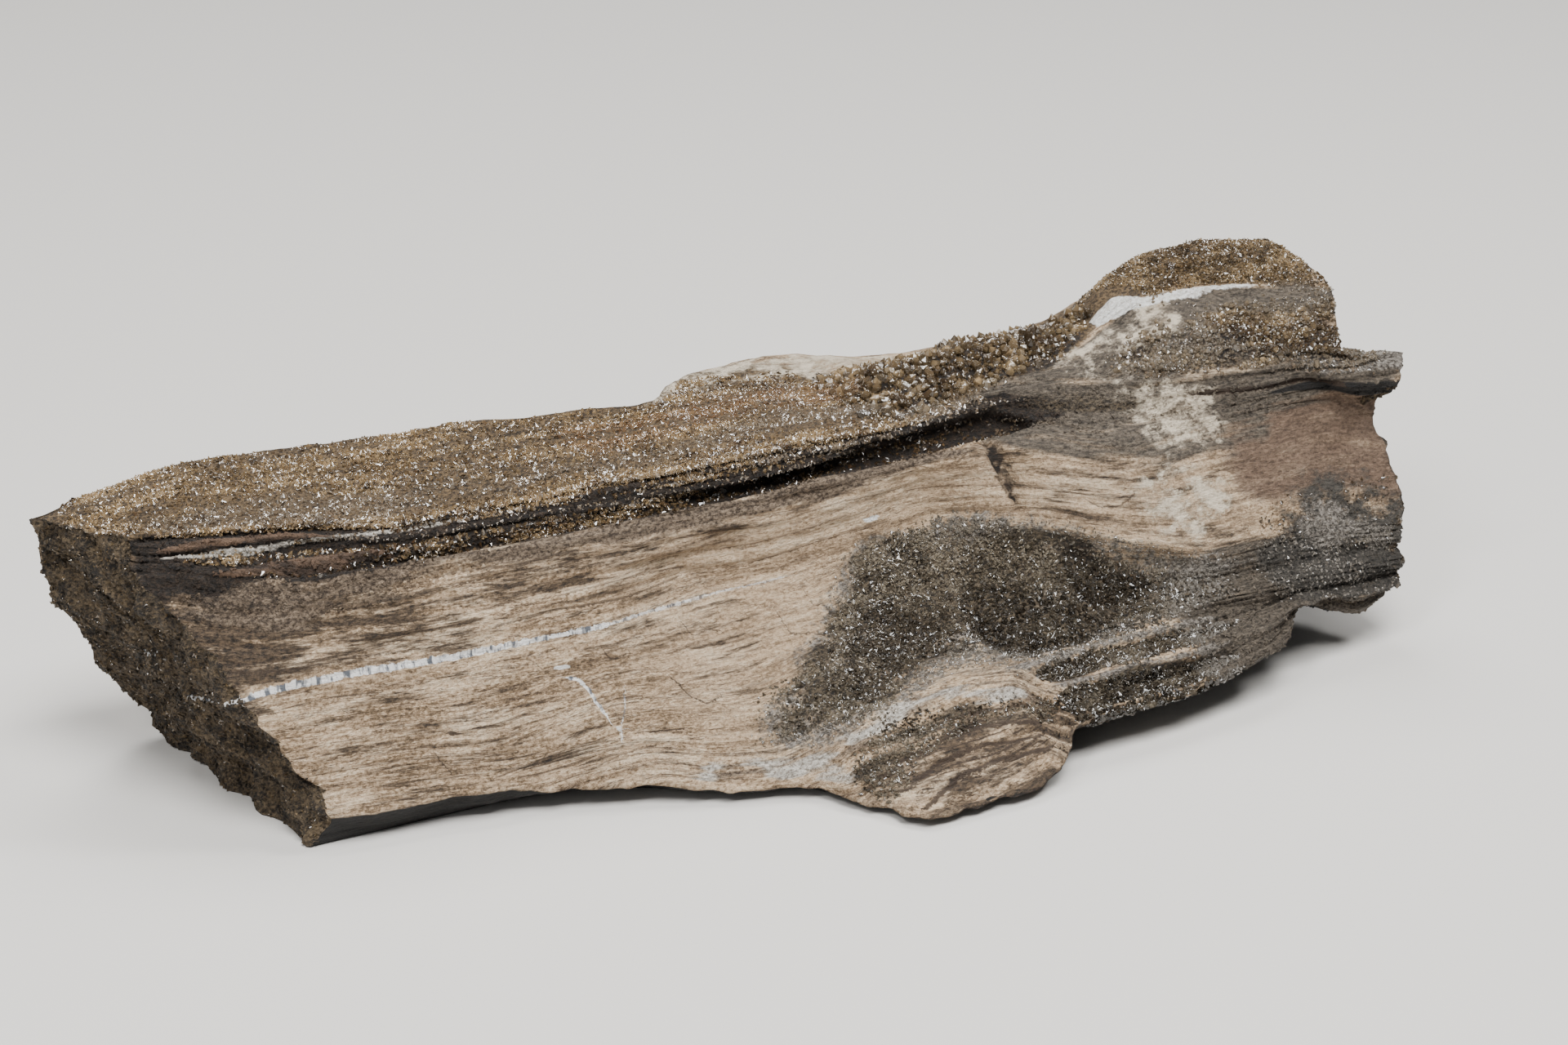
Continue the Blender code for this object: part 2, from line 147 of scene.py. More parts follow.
def railAt(points, u):
    # a cubic through the rail's points that never overshoots them, at share u of its length
    knots = np.array(points, float)
    x, values = knots[:, 0], knots[:, 1:]
    slope = np.diff(values, axis=0) / np.diff(x)[:, None]
    before, after = slope[:-1], slope[1:]
    with np.errstate(divide="ignore", invalid="ignore"):
        harmonic = 2 * before * after / (before + after)
    tangent = np.vstack([slope[:1], np.where(before * after > 0, harmonic, 0.0), slope[-1:]])
    here = x[0] + u * (x[-1] - x[0])
    cell = np.clip(np.searchsorted(x, here) - 1, 0, len(x) - 2)
    width = (x[cell + 1] - x[cell])[:, None]
    t = (here - x[cell])[:, None] / width
    start = values[cell] * (1 + 2 * t) * (1 - t) ** 2 + tangent[cell] * width * t * (1 - t) ** 2
    end = values[cell + 1] * t * t * (3 - 2 * t) - tangent[cell + 1] * width * t * t * (1 - t)
    return np.column_stack([here, start + end])


def loftSkin(columns):
    # from one rail to the next the skin is a cubic, whose slope at each end lies between that of its own
    # chord and the mean of the two chords that meet there, by the softness
    u = np.linspace(0, 1, columns + 1)
    lines = np.array([railAt(rail[3], u) for rail in rails.values()])
    soft = np.array([rail[0] for rail in rails.values()])[:, None, None]
    ahead = np.roll(lines, -1, axis=0) - lines
    length = np.linalg.norm(ahead, axis=2, keepdims=True)
    behind, behindLength = np.roll(ahead, 1, axis=0), np.roll(length, 1, axis=0)
    along = (ahead + behind) / (length + behindLength)
    leaving = ahead * (1 - soft) + along * length * soft
    arriving = behind * (1 - soft) + along * behindLength * soft
    counts = [rail[1] for rail in rails.values()]
    widths = [rail[2] for rail in rails.values()]
    first = np.repeat(np.arange(len(lines)), counts)
    t = np.concatenate([np.arange(n) / n for n in counts])
    after, s = (first + 1) % len(lines), t[:, None, None]
    grid = (lines[first] * (1 + 2 * s) * (1 - s) ** 2 + leaving[first] * s * (1 - s) ** 2
            + lines[after] * s * s * (3 - 2 * s) - arriving[after] * s * s * (1 - s))
    across = np.cumsum([0] + widths)[first] + t * np.array(widths)[first]
    return grid.transpose(1, 0, 2), first + t, across


def gridNormals(grid):
    # cross product of the steps round the section and along the grain
    along = np.gradient(grid, axis=0)
    around = np.roll(grid, -1, axis=1) - np.roll(grid, 1, axis=1)
    normal = np.cross(around, along)
    return normal / np.maximum(np.linalg.norm(normal, axis=2, keepdims=True), 1e-9)


# Bands follow the grain. Each has the seed of its wandering edges, and a list of x and the places between
# which it lies there: 12 is the vein's rail, 13 the low rail of the hollow, and so on.
bands = {
    "topGolden": (100, [(-20, 3.7, 9.1), (60, 4.0, 9.2), (80, 4.8, 9.0), (98, 4.9, 7.8), (105, 4.9, 6.6),
        (112, 4.9, 6.8), (131, 4.9, 6.85), (134, 6, 6)]),
    "knobRows": (101, [(103, 8.0, 8.1), (109, 7.6, 8.8), (118, 7.4, 8.9), (134, 7.35, 8.9)]),
    "topGrey": (102, [(-11, 7.2, 8.3), (0, 6.4, 8.6), (15, 6.7, 8.3), (30, 7.3, 8.2), (38, 7.2, 8.0),
        (48, 7.0, 8.0), (60, 6.9, 7.9), (70, 6.8, 7.9), (76, 7.1, 7.9), (79, 7.6, 7.6)]),
    "topRed": (103, [(36, 5.9, 5.9), (42, 5.0, 6.6), (55, 5.2, 6.6), (66, 5.2, 6.5), (74, 5.3, 6.3),
        (79, 5.8, 5.8)]),
    "backPale": (104, [(50, 4.1, 4.1), (54, 3.9, 4.6), (64, 3.9, 4.7), (78, 4.0, 4.9), (88, 4.1, 4.8),
        (94, 4.4, 4.4)]),
    # underLip: painted shade, a dark line under the lip
    "underLip": (105, [(-12, 9.0, 9.3), (5, 8.95, 9.2), (30, 9.0, 9.2), (50, 9.05, 9.2), (74, 9.1, 9.25),
        (85, 9.2, 9.2)]),
    "redUpper": (106, [(-11, 9.95, 9.95), (-9, 9.65, 9.85), (-5.4, 9.35, 9.7), (-0.4, 9.22, 9.5),
        (4, 9.25, 9.5), (8, 9.38, 9.45), (10, 9.4, 9.4)]),
    "whiteStrip": (107, [(-10, 10.3, 10.5), (-7.5, 10.0, 10.25), (-1.9, 9.72, 10.05), (1.5, 9.65, 9.9),
        (5, 9.5, 9.7), (9, 9.35, 9.52), (14, 9.25, 9.4), (20, 9.3, 9.4), (24, 9.35, 9.35)]),
    "whiteThin": (108, [(6, 9.45, 9.45), (12, 9.45, 9.66), (20, 9.54, 9.74), (28, 9.64, 9.84),
        (36, 9.68, 9.88), (44, 9.7, 9.9), (52, 9.7, 9.88), (60, 9.64, 9.82), (68, 9.58, 9.74),
        (74, 9.62, 9.62)]),
    "greyThin": (109, [(56, 9.15, 9.15), (60, 9.12, 9.35), (68, 9.15, 9.4), (76, 9.1, 9.35), (86, 9.1, 9.3),
        (94, 9.2, 9.2)]),
    "goldRow": (110, [(-8, 10.4, 10.4), (-2.5, 10.1, 10.45), (3, 9.98, 10.25), (12, 9.85, 10.2),
        (25, 9.95, 10.3), (38, 9.95, 10.3), (50, 9.95, 10.25), (58, 10.1, 10.1)]),
    "redLower": (111, [(-6, 11, 11), (-1.6, 10.62, 10.92), (2.7, 10.35, 10.75), (8.6, 10.15, 10.5),
        (12, 10.15, 10.35), (15, 10.2, 10.2)]),
    "groove": (112, [(-2, 10.9, 10.9), (9, 10.5, 10.9), (14, 10.25, 10.95), (20, 10.2, 10.95),
        (25, 10.1, 10.9), (35, 10.1, 10.95), (50, 10.0, 10.9), (58, 9.9, 10.8), (65, 9.75, 10.7),
        (75, 9.5, 10.45), (85, 9.45, 10.4), (89, 9.6, 10.3), (93, 9.9, 9.9)]),
    "sugary": (113, [(-11, 11.1, 11.5), (0, 10.95, 11.45), (10, 10.9, 11.4), (20, 10.95, 11.2),
        (28, 11.0, 11.1)]),
    "darkLayer": (114, [(-6, 11.6, 11.6), (0, 11.5, 11.66), (10, 11.5, 11.6), (20, 11.52, 11.62),
        (32, 11.55, 11.55)]),
    "shoulderGrey": (115, [(74, 8.6, 8.6), (77, 8.3, 9.2), (87, 8.2, 9.5), (96, 8.2, 10.3),
        (104, 8.6, 11.0), (116, 8.9, 10.9), (132, 8.9, 10.8), (138, 9, 10.8)]),
    "shoulderDark": (116, [(84, 9.1, 9.1), (88, 8.9, 9.4), (96, 9.0, 9.6), (103, 9.3, 9.8),
        (107, 9.6, 9.6)]),
    "blueGrey": (117, [(112, 12.2, 12.2), (116, 11.95, 13.0), (124, 11.78, 13.4), (148, 11.72, 13.5)]),
    "rightGrey": (118, [(100, 12.5, 13.0), (104, 12.2, 14.4), (110, 12.05, 14.6), (120, 12.1, 14.7),
        (138, 12.6, 14.7)]),
    "greyStreaks": (119, [(84, 10.3, 10.3), (88, 9.6, 11.0), (96, 9.5, 11.15), (104, 9.6, 11.2),
        (114, 10.0, 11.2), (118, 10.5, 10.9)]),
    "hollow": (120, [(48, 13.0, 13.02), (52, 12.9, 13.05), (55, 12.78, 13.06), (58, 12.66, 13.04),
        (62, 12.5, 12.98), (66, 12.3, 12.95), (68, 12.12, 12.92), (70, 12.03, 12.86), (74, 12.0, 12.76),
        (79, 11.97, 12.78), (83, 12.0, 12.95), (90, 12.04, 12.97), (96, 12.14, 12.97), (103, 12.3, 12.95),
        (108, 12.45, 12.85), (111, 12.6, 12.6)]),
    "deepRight": (121, [(77, 12.5, 12.5), (81, 12.32, 12.82), (88, 12.36, 12.92), (96, 12.45, 12.95),
        (103, 12.55, 12.85), (106, 12.7, 12.7)]),
    "deepLeft": (122, [(57, 12.85, 12.85), (61, 12.66, 12.92), (67, 12.42, 12.8), (71, 12.22, 12.66),
        (76, 12.25, 12.6), (79, 12.4, 12.4)]),
    "hollowBrown": (123, [(66, 12.2, 12.2), (68, 12.04, 12.3), (74, 11.98, 12.24), (80, 11.95, 12.16),
        (88, 12.0, 12.12), (92, 12.05, 12.05)]),
    "rowA": (124, [(81, 13.14, 13.14), (84, 13.1, 13.36), (97, 13.12, 13.4), (104, 13.16, 13.36),
        (110, 13.24, 13.24)]),
    "rowB": (125, [(82, 13.55, 13.55), (84, 13.5, 13.8), (94, 13.52, 13.84), (103, 13.58, 13.84),
        (109, 13.7, 13.7)]),
    "rowC": (126, [(83, 13.86, 13.86), (86, 13.86, 14.0), (96, 13.88, 14.02), (104, 13.9, 14.0),
        (108, 13.95, 13.95)]),
    "lineA": (127, [(78, 13.0, 13.0), (81, 12.97, 13.08), (92, 12.98, 13.09), (104, 13.02, 13.12),
        (109, 13.1, 13.1)]),
    "lineB": (128, [(82, 13.42, 13.42), (84, 13.38, 13.48), (95, 13.42, 13.5), (104, 13.44, 13.54),
        (108, 13.5, 13.5)]),
    "lineC": (129, [(80, 12.8, 12.8), (84, 12.8, 12.86), (92, 12.84, 12.9), (99, 12.86, 12.86)]),
    "bulgeDark": (130, [(55.5, 13.9, 13.9), (57, 13.5, 13.9), (59, 13.25, 13.8), (62, 13.18, 13.55),
        (66, 13.22, 13.42), (72, 13.24, 13.38), (78, 13.28, 13.42), (81, 13.4, 13.6), (83, 13.6, 13.6)]),
    "whiteStreak": (131, [(55, 13.2, 13.2), (58, 13.12, 13.28), (61.7, 13.05, 13.22), (64.2, 13.02, 13.2),
        (69.2, 13.12, 13.22), (74.2, 13.17, 13.27), (78.6, 13.2, 13.3), (81, 13.26, 13.26)]),
    "lowWhite": (132, [(39, 13.95, 13.95), (41.5, 13.76, 13.96), (43.5, 13.44, 13.72), (45.5, 13.34, 13.5),
        (48, 13.34, 13.5), (50, 13.46, 13.76), (53, 13.4, 13.74), (56, 13.4, 13.6), (58, 13.4, 13.4)]),
    "knobWhite": (133, [(104.2, 6.5, 6.6), (105.2, 6.3, 6.8), (108, 6.45, 7.0), (110.2, 6.7, 7.04),
        (111.4, 6.84, 7.01), (114, 6.86, 6.99), (118, 6.87, 6.98), (123, 6.88, 6.97), (128, 6.92, 6.93)]),
    "greyUpper": (134, [(86, 8.4, 8.9), (92, 8.0, 9.0), (98, 7.4, 9.0), (104, 7.0, 9.0), (110, 7.0, 9.0),
        (114, 7.2, 9.0), (122, 8.7, 9.0)]),
    "creamUpper": (135, [(96, 7.7, 7.9), (100, 7.1, 8.5), (105, 6.95, 8.9), (110, 7.0, 8.6),
        (114, 7.0, 7.5), (118, 7.1, 7.2)]),
    "creamLower": (136, [(101.5, 9.9, 9.9), (104, 9.6, 10.7), (108, 9.5, 11.0), (112, 9.6, 11.0),
        (115, 9.9, 10.6), (117, 10.2, 10.2)]),
    "creamLow": (137, [(98, 11.5, 11.55), (102, 11.28, 11.78), (106, 11.25, 11.84), (110, 11.36, 11.8),
        (114, 11.6, 11.6)]),
    # pinkFace: drawn darker than its stone, partly as painted shade where the light falls off to the right
    "pinkFace": (139, [(110, 10.9, 11.3), (114, 10.4, 11.75), (120, 10.1, 11.8), (148, 10.1, 11.8)]),
    "fleckOne": (140, [(28.8, 12.27, 12.28), (30.6, 12.27, 12.30), (32, 12.3, 12.31)]),
    "fleckTwo": (141, [(34.0, 12.9, 12.91), (34.7, 12.86, 12.93), (35.4, 12.89, 12.9)]),
    "fleckThree": (142, [(69.6, 11.6, 11.6), (71, 11.56, 11.65), (72.6, 11.6, 11.6)]),
    "calm": (143, [(34, 11.1, 12.3), (50, 11.0, 13.4), (80, 10.9, 12.3), (104, 11.1, 12.2),
        (118, 11.3, 12.0)]),
    # where crystals grow, and shades over the first stones
    "druse": (144, [(-18, 4.0, 8.9), (20, 4.0, 8.95), (50, 4.3, 9.1), (62, 4.4, 9.1), (75, 4.9, 9.0),
        (78, 5.4, 8.9)]),
    "lipRow": (145, [(-8, 8.55, 8.95), (30, 8.55, 9.02), (60, 8.6, 9.15), (80, 8.6, 9.1), (88, 8.8, 9.0)]),
    "shoulder": (146, [(73, 5.4, 8.7), (77, 5.0, 8.6), (90, 4.8, 8.1), (98, 4.9, 7.4), (104, 5.1, 6.5),
        (107, 5.6, 5.8)]),
    "cap": (147, [(107, 5.2, 5.6), (112, 4.9, 6.8), (130, 4.9, 6.85), (138, 5.0, 6.9)]),
    # foot: painted shade, the underside drawn near black
    "foot": (148, [(-20, 14.03, 16), (62, 14.06, 16), (84, 14.15, 16), (140, 14.3, 16)]),
    # ridge: dark brown stone, partly painted shade of the undercut below the lip
    "ridge": (149, [(-13, 9.0, 11.3), (-6, 9.0, 11.2), (0, 9.0, 11.05), (12, 9.0, 11.0), (40, 9.05, 10.98),
        (60, 9.1, 10.9), (75, 9.2, 10.6), (84, 9.05, 10.4), (90, 9.0, 10.25), (95, 9.3, 10.0),
        (98, 9.6, 9.7)]),
    "belowLip": (150, [(10, 10.95, 11.05), (20, 10.92, 11.12), (30, 10.88, 11.18), (50, 10.8, 11.22),
        (66, 10.66, 11.18), (78, 10.5, 11.06), (84, 10.5, 10.9)]),
    "leftBrown": (151, [(-16, 11.0, 11.85), (-6, 11.0, 11.7), (0, 11.0, 11.55), (6, 11.0, 11.45),
        (14, 11.0, 11.36), (24, 11.0, 11.24), (40, 11.02, 11.16), (60, 11.05, 11.1)]),
    "brownStreaks": (152, [(-6, 11.5, 11.6), (2, 11.35, 11.6), (9, 11.28, 11.68), (15, 11.32, 11.64),
        (20, 11.42, 11.54), (24, 11.48, 11.48)]),
    # notch: a sunken wedge drawn dark, partly painted shade in it
    "notch": (153, [(84.6, 10.45, 10.6), (85.4, 10.45, 11.05), (86.2, 10.5, 11.35), (87.0, 10.7, 11.6),
        (87.7, 11.1, 11.76), (88.4, 11.5, 11.86), (89.0, 11.8, 11.9)]),
    "umberUpper": (154, [(-9, 11.4, 11.9), (5, 11.3, 11.85), (20, 11.1, 11.9), (40, 11.0, 11.7),
        (55, 11.1, 11.4), (66, 11.2, 11.2)]),
    "umberLower": (155, [(-4, 12.2, 12.6), (6, 12.1, 14), (24, 12.2, 14), (40, 12.9, 14),
        (50, 13.8, 13.9)]),
    "hollowRim": (156, [(47, 13.0, 13.1), (54, 12.68, 13.3), (60, 12.45, 13.15), (65, 12.15, 13.1),
        (69, 11.92, 13.0), (74, 11.88, 12.9), (80, 11.84, 12.95), (90, 11.9, 13.0), (104, 12.05, 12.9),
        (112, 12.3, 12.8)]),
    "lowFrost": (157, [(40, 13.7, 13.9), (46, 13.3, 13.8), (52, 13.1, 13.6), (58, 13.05, 13.4),
        (64, 12.98, 13.3), (74, 12.9, 13.0), (80, 12.9, 13.4), (88, 13.1, 13.4)]),
    "backGrain": (158, [(-20, 1, 4.1), (140, 1, 4.1)]),
    "bulgeGrey": (159, [(54, 13.8, 14.2), (60, 13.35, 14.3), (72, 13.3, 14.3), (86, 13.3, 14.3),
        (90, 13.5, 14.0)]),
    "prong": (160, [(124, 9.0, 9.2), (129, 8.5, 9.7), (141, 8.3, 9.85)]),
    # prongUnder: painted shade on the face under the prong
    "prongUnder": (161, [(120, 9.98, 10.05), (126, 9.98, 10.35), (130, 10.0, 10.6), (141, 10.02, 10.7)]),
    "goldUpper": (162, [(10, 9.2, 9.2), (16, 9.12, 9.4), (26, 9.12, 9.52), (40, 9.14, 9.58),
        (54, 9.14, 9.54), (66, 9.18, 9.5), (76, 9.3, 9.4)]),
    "lowDark": (163, [(20, 13.72, 13.78), (23.5, 13.48, 13.72), (27, 13.22, 13.52), (31, 13.08, 13.26),
        (34, 13.06, 13.1)]),
    "greyPocket": (164, [(111, 10.9, 10.9), (114, 10.5, 11.15), (119, 10.6, 11.2), (124, 10.9, 10.9)]),
    "creamKnob": (165, [(107.5, 7.05, 7.05), (109.5, 6.98, 7.75), (112.5, 6.98, 7.7), (115, 7.05, 7.1)]),
    "knobDark": (166, [(107, 8.3, 8.5), (111, 7.95, 8.85), (120, 8.0, 8.9), (127, 8.3, 8.9),
        (132, 8.6, 8.8)]),
    "rightFrost": (167, [(103, 12.25, 12.25), (105.5, 12.12, 12.46), (109, 12.2, 12.44), (113, 12.3, 12.34),
        (121, 11.95, 12.0), (124, 11.84, 12.4), (128, 11.9, 12.3), (130, 12.1, 12.3), (133, 12.05, 12.5),
        (137, 12.1, 12.3)]),
    # the pits: sunk in and drawn dark, partly as painted shade in them
    "pitLeft": (168, [(66, 12.6, 12.6), (69, 12.46, 12.76), (73, 12.42, 12.7), (77, 12.5, 12.6)]),
    "pitMiddle": (169, [(78, 12.5, 12.6), (81, 12.34, 12.86), (84, 12.32, 12.92), (87, 12.4, 12.8),
        (90, 12.6, 12.6)]),
    "pitRight": (170, [(90, 12.3, 12.3), (92.5, 12.1, 12.56), (96, 12.16, 12.66), (99, 12.34, 12.56),
        (101, 12.5, 12.5)]),
    "pitLow": (171, [(83, 12.82, 12.82), (85.5, 12.8, 12.93), (91, 12.84, 12.95), (97, 12.9, 12.92)]),
    "hollowTop": (172, [(68, 12.04, 12.04), (72, 11.98, 12.28), (82, 12.0, 12.26), (90, 12.02, 12.24),
        (100, 12.15, 12.4), (107, 12.34, 12.4)]),
    "rightTan": (173, [(84, 11.0, 11.8), (94, 11.0, 12.0), (104, 11.1, 12.15), (118, 11.8, 12.2)]),
    "tanDirty": (174, [(40, 11.0, 11.5), (60, 10.9, 11.25), (80, 10.6, 10.9), (92, 10.6, 11.3),
        (112, 10.9, 11.6), (120, 11.2, 11.3)]),
    "midShade": (175, [(29, 11.8, 11.9), (33, 11.6, 12.3), (40, 11.55, 12.5), (48, 11.7, 12.65),
        (57, 12.0, 12.5)]),
    "cornerDark": (176, [(-14, 11.0, 11.7), (-7, 11.0, 11.62), (0, 11.0, 11.5), (6, 11.02, 11.4),
        (12, 11.2, 11.3)]),
    "prongLump": (177, [(125, 9.3, 9.6), (129, 8.9, 10.2), (133, 8.7, 10.5), (144, 8.6, 10.7)]),
    "knobSmooth": (178, [(111, 7.0, 7.2), (114, 6.94, 7.6), (122, 6.92, 7.45), (138, 6.9, 7.4)]),
}

# The kinds of stone that show: the bands of each, how strongly they show and how soft their edges are in mm.
stones = {
    "umber": [("umberUpper", 0.54, 4.0), ("umberLower", 0.28, 4.0), ("midShade", 0.32, 3.0),
        ("backGrain", 0.34, 3.0), ("darkLayer", 0.8, 1.0), ("bulgeGrey", 0.6, 1.2), ("tanDirty", 0.4, 1.8),
        ("rightTan", 0.34, 2.5), ("hollowBrown", 0.7, 1.2), ("brownStreaks", 0.66, 1.6),
        ("leftBrown", 1.35, 4.5), ("topGrey", 0.85, 1.5), ("lowDark", 0.62, 1.2)],
    "sugary": [("sugary", 0.9, 2.2), ("belowLip", 1.0, 0.8), ("lowFrost", 0.5, 1.6)],
    "grey": [("shoulderGrey", 0.9, 1.4), ("greyUpper", 1.0, 1.0), ("rightGrey", 1.0, 2.0),
        ("greyStreaks", 0.8, 1.5), ("greyThin", 0.9, 0.25), ("greyPocket", 0.8, 1.6),
        ("knobSmooth", 1.0, 0.8)],
    "frost": [("hollowRim", 0.6, 1.6), ("prong", 1.2, 0.8), ("lineA", 0.8, 0.3), ("lineB", 0.8, 0.3),
        ("lineC", 0.7, 0.3), ("rightFrost", 0.8, 1.4), ("whiteThin", 1.2, 0.14)],
    "smoky": [("hollow", 0.85, 2.0), ("bulgeDark", 0.6, 1.0), ("rowA", 0.9, 0.5), ("rowB", 0.9, 0.5),
        ("rowC", 0.9, 0.5), ("shoulderDark", 0.55, 0.9)],
    "brown": [("redUpper", 1.0, 0.12), ("redLower", 1.0, 0.12)],
    "white": [("whiteStrip", 0.9, 0.12), ("whiteStreak", 0.6, 0.6), ("lowWhite", 0.72, 1.3)],
    "chalk": [("knobWhite", 1.2, 0.35), ("fleckOne", 1.3, 0.1), ("fleckTwo", 1.3, 0.12),
        ("fleckThree", 1.0, 0.1)],
    "pink": [("pinkFace", 0.85, 2.5), ("topRed", 0.8, 1.5)],
    "golden": [("topGolden", 1.0, 0.8), ("goldRow", 0.7, 0.25)],
    # foot is painted shade: near black on the underside and on the face under the prong
    "foot": [("foot", 1.0, 0.2), ("prongUnder", 1.0, 0.35)],
    # deep is dark stone on the shoulder and knob, and painted shade under the lip, in the ridge, the notch
    # and the pits
    "deep": [("cornerDark", 0.44, 3.0), ("shoulder", 0.85, 1.2), ("knobRows", 0.8, 1.6),
        ("ridge", 1.0, 0.5), ("underLip", 1.0, 0.25), ("notch", 0.62, 0.25), ("knobDark", 0.5, 1.4),
        ("pitLeft", 0.8, 1.0), ("pitMiddle", 1.0, 0.9), ("pitRight", 1.0, 0.9), ("pitLow", 0.9, 0.6)],
    "cream": [("creamUpper", 0.5, 2.6), ("creamLower", 0.68, 2.0), ("creamLow", 0.66, 1.8),
        ("creamKnob", 0.8, 0.7), ("backPale", 0.75, 1.5)],
    "slate": [("blueGrey", 0.85, 2.4)],
    "calm": [("calm", 1.0, 3.0)],
}

# How far a band stands out of the skin, in mm, and how soft its edges are.
steps = {
    "redUpper": (0.6, 0.15), "redLower": (0.55, 0.15), "whiteStrip": (0.1, 0.15), "goldRow": (0.1, 0.2),
    "groove": (-1.7, 0.4), "underLip": (-0.8, 0.2), "shoulderDark": (-0.5, 0.5), "rowA": (-0.8, 0.4),
    "rowB": (-0.8, 0.4), "rowC": (-0.6, 0.3), "knobWhite": (0.35, 0.3), "bulgeDark": (-0.4, 0.6),
    "prongUnder": (-0.1, 0.5), "prongLump": (1.1, 1.0), "pitLeft": (-0.5, 0.8), "pitMiddle": (-0.9, 0.8),
    "pitRight": (-0.9, 0.8), "pitLow": (-0.8, 0.5), "notch": (-0.9, 0.25), "whiteThin": (0.4, 0.15),
    "greyThin": (0.35, 0.2), "lineA": (0.35, 0.3), "lineB": (0.35, 0.3),
}

# Thin lines: half width in mm, how strongly it shows, and points x, place. The vein follows its rail.
paleLines = [
    (0.4, 1.0, [(-5.4, 12.05), (-3.5, 12.02), (-0.5, 11.99), (8.4, 11.96), (18.8, 12.0), (27.5, 12.0)]),
    (0.3, 1.0, [(27.5, 12.0), (32.3, 12.0), (37.2, 12.01)]),
    (0.17, 0.8, [(37.2, 12.01), (42.6, 12.0), (48.3, 12.01)]),
    (0.12, 0.6, [(48.3, 12.01), (53.6, 12.0), (59.5, 11.98)]),
    (0.22, 1.0, [(31.0, 12.40), (31.9, 12.43), (32.6, 12.53), (33.0, 12.66), (33.6, 12.77)]),
    (0.12, 0.8, [(34.7, 12.95), (34.6, 13.0)]),
    (0.10, 0.7, [(35.2, 12.84), (36.0, 12.72), (36.4, 12.62)]),
]
# The same on the left broken end, by y and z.
endLines = [
    (0.26, 1.0, [(4.8, 16.95), (7.6, 15.4), (11.3, 14.0), (14.2, 13.4), (16.4, 13.0)]),
    (0.22, 0.9, [(24.1, 17.3), (22.0, 16.6), (19.8, 17.0)]),
]
darkLines = [
    (0.07, 0.8, [(22.1, 12.16), (24.0, 12.12), (25.9, 12.14), (27.3, 12.17), (28.1, 12.25)]),
    (0.08, 0.8, [(57.6, 12.22), (58.0, 12.37), (60.5, 12.39), (62.8, 12.47)]),
    (0.06, 0.7, [(61.6, 12.12), (62.1, 12.22), (64.4, 12.23), (67.3, 12.17)]),
    (0.09, 0.9, [(42.4, 12.52), (43.6, 12.66), (45.4, 12.73), (46.6, 12.70)]),
    (0.12, 0.9, [(38.1, 12.94), (41.8, 12.91)]),
    (0.09, 0.7, [(95.0, 11.60), (96.4, 11.67), (98.4, 11.63), (99.9, 11.50)]),
    (0.10, 0.8, [(14.5, 13.0), (15.0, 13.25), (15.6, 13.5)]),
    (0.30, 0.9, [(16.5, 12.78), (16.9, 12.79)]),
    (0.28, 1.0, [(112, 9.6), (118, 9.7), (125.9, 9.83), (129.5, 10.1)]),
    (0.11, 0.8, [(35.8, 12.22), (36.2, 12.3), (38.3, 12.27)]),
    (0.10, 0.7, [(46.5, 12.17), (47.0, 12.26), (49.2, 12.22), (50.4, 12.25)]),
    (0.16, 0.6, [(14, 11.27), (20, 11.2), (27, 11.24), (34, 11.2)]),
    (0.14, 0.7, [(20, 11.31), (27, 11.34), (36, 11.3)]),
    (0.15, 0.7, [(24, 11.79), (31, 11.75), (40, 11.79), (47, 11.75)]),
    (0.10, 0.6, [(33, 11.62), (40, 11.59), (48, 11.63)]),
    (0.14, 0.6, [(-6, 11.83), (0, 11.86), (8, 11.82), (14, 11.86)]),
    (0.10, 0.6, [(53, 11.52), (60, 11.5), (68, 11.47)]),
    (0.10, 0.6, [(56, 11.73), (64, 11.69), (73, 11.71)]),
    (0.10, 0.6, [(61, 11.31), (68, 11.28), (75, 11.34)]),
    (0.10, 0.6, [(76, 11.41), (83, 11.43), (91, 11.5)]),
    (0.12, 0.6, [(-1, 12.22), (4, 12.18), (9, 12.21)]),
    (0.12, 0.6, [(1, 13.02), (5, 13.04), (12, 13.01)]),
    (0.10, 0.6, [(4, 12.84), (9, 12.86), (13, 12.83)]),
    (0.10, 0.6, [(20, 12.62), (26, 12.57), (31, 12.6)]),
    (0.12, 0.7, [(20, 13.75), (23, 13.52), (26, 13.4), (29, 13.33)]),
    (0.12, 0.6, [(31, 13.6), (34, 13.35), (38, 13.15)]),
    (0.2, 0.9, [(58.5, 13.64), (62, 13.47), (68, 13.42), (76, 13.46), (80, 13.56)]),
    (0.16, 0.9, [(60, 13.74), (65, 13.6), (72, 13.56), (79, 13.66)]),
    (0.2, 0.9, [(62, 13.88), (67, 13.74), (73, 13.7), (79, 13.78)]),
    (0.14, 0.8, [(63, 13.33), (69, 13.3), (76, 13.33), (80, 13.4)]),
]
acrossAt = np.cumsum([0] + [rail[2] for rail in rails.values()])
bandEdge = {
    "squeeze": 0.4,            # of its wandering along the grain
    "layer": 7.0,
    "size": 1.2,               # of the wandering, in mm, with the softness added
    "wander": 1.1,             # for each mm of softness
    "end": 0.6,                # length of its ends, in mm, to which endSoft adds for each mm of softness
    "endSoft": 2.5,
}
lineReach = {
    "limit": 1.5,              # distance from a line past which nothing is measured, in mm
    "fade": (1.1, 1.4),        # where its strength goes
}


def acrossOf(place):
    # the grain pattern's measure across, in mm, at a place round the section
    return np.interp(place, np.arange(len(acrossAt)), acrossAt)


def between(value, start, end):
    # 1 between two ramps, each given by where it begins and where it is over, and 0 outside them
    return rise(*start, value) * (1 - rise(*end, value))


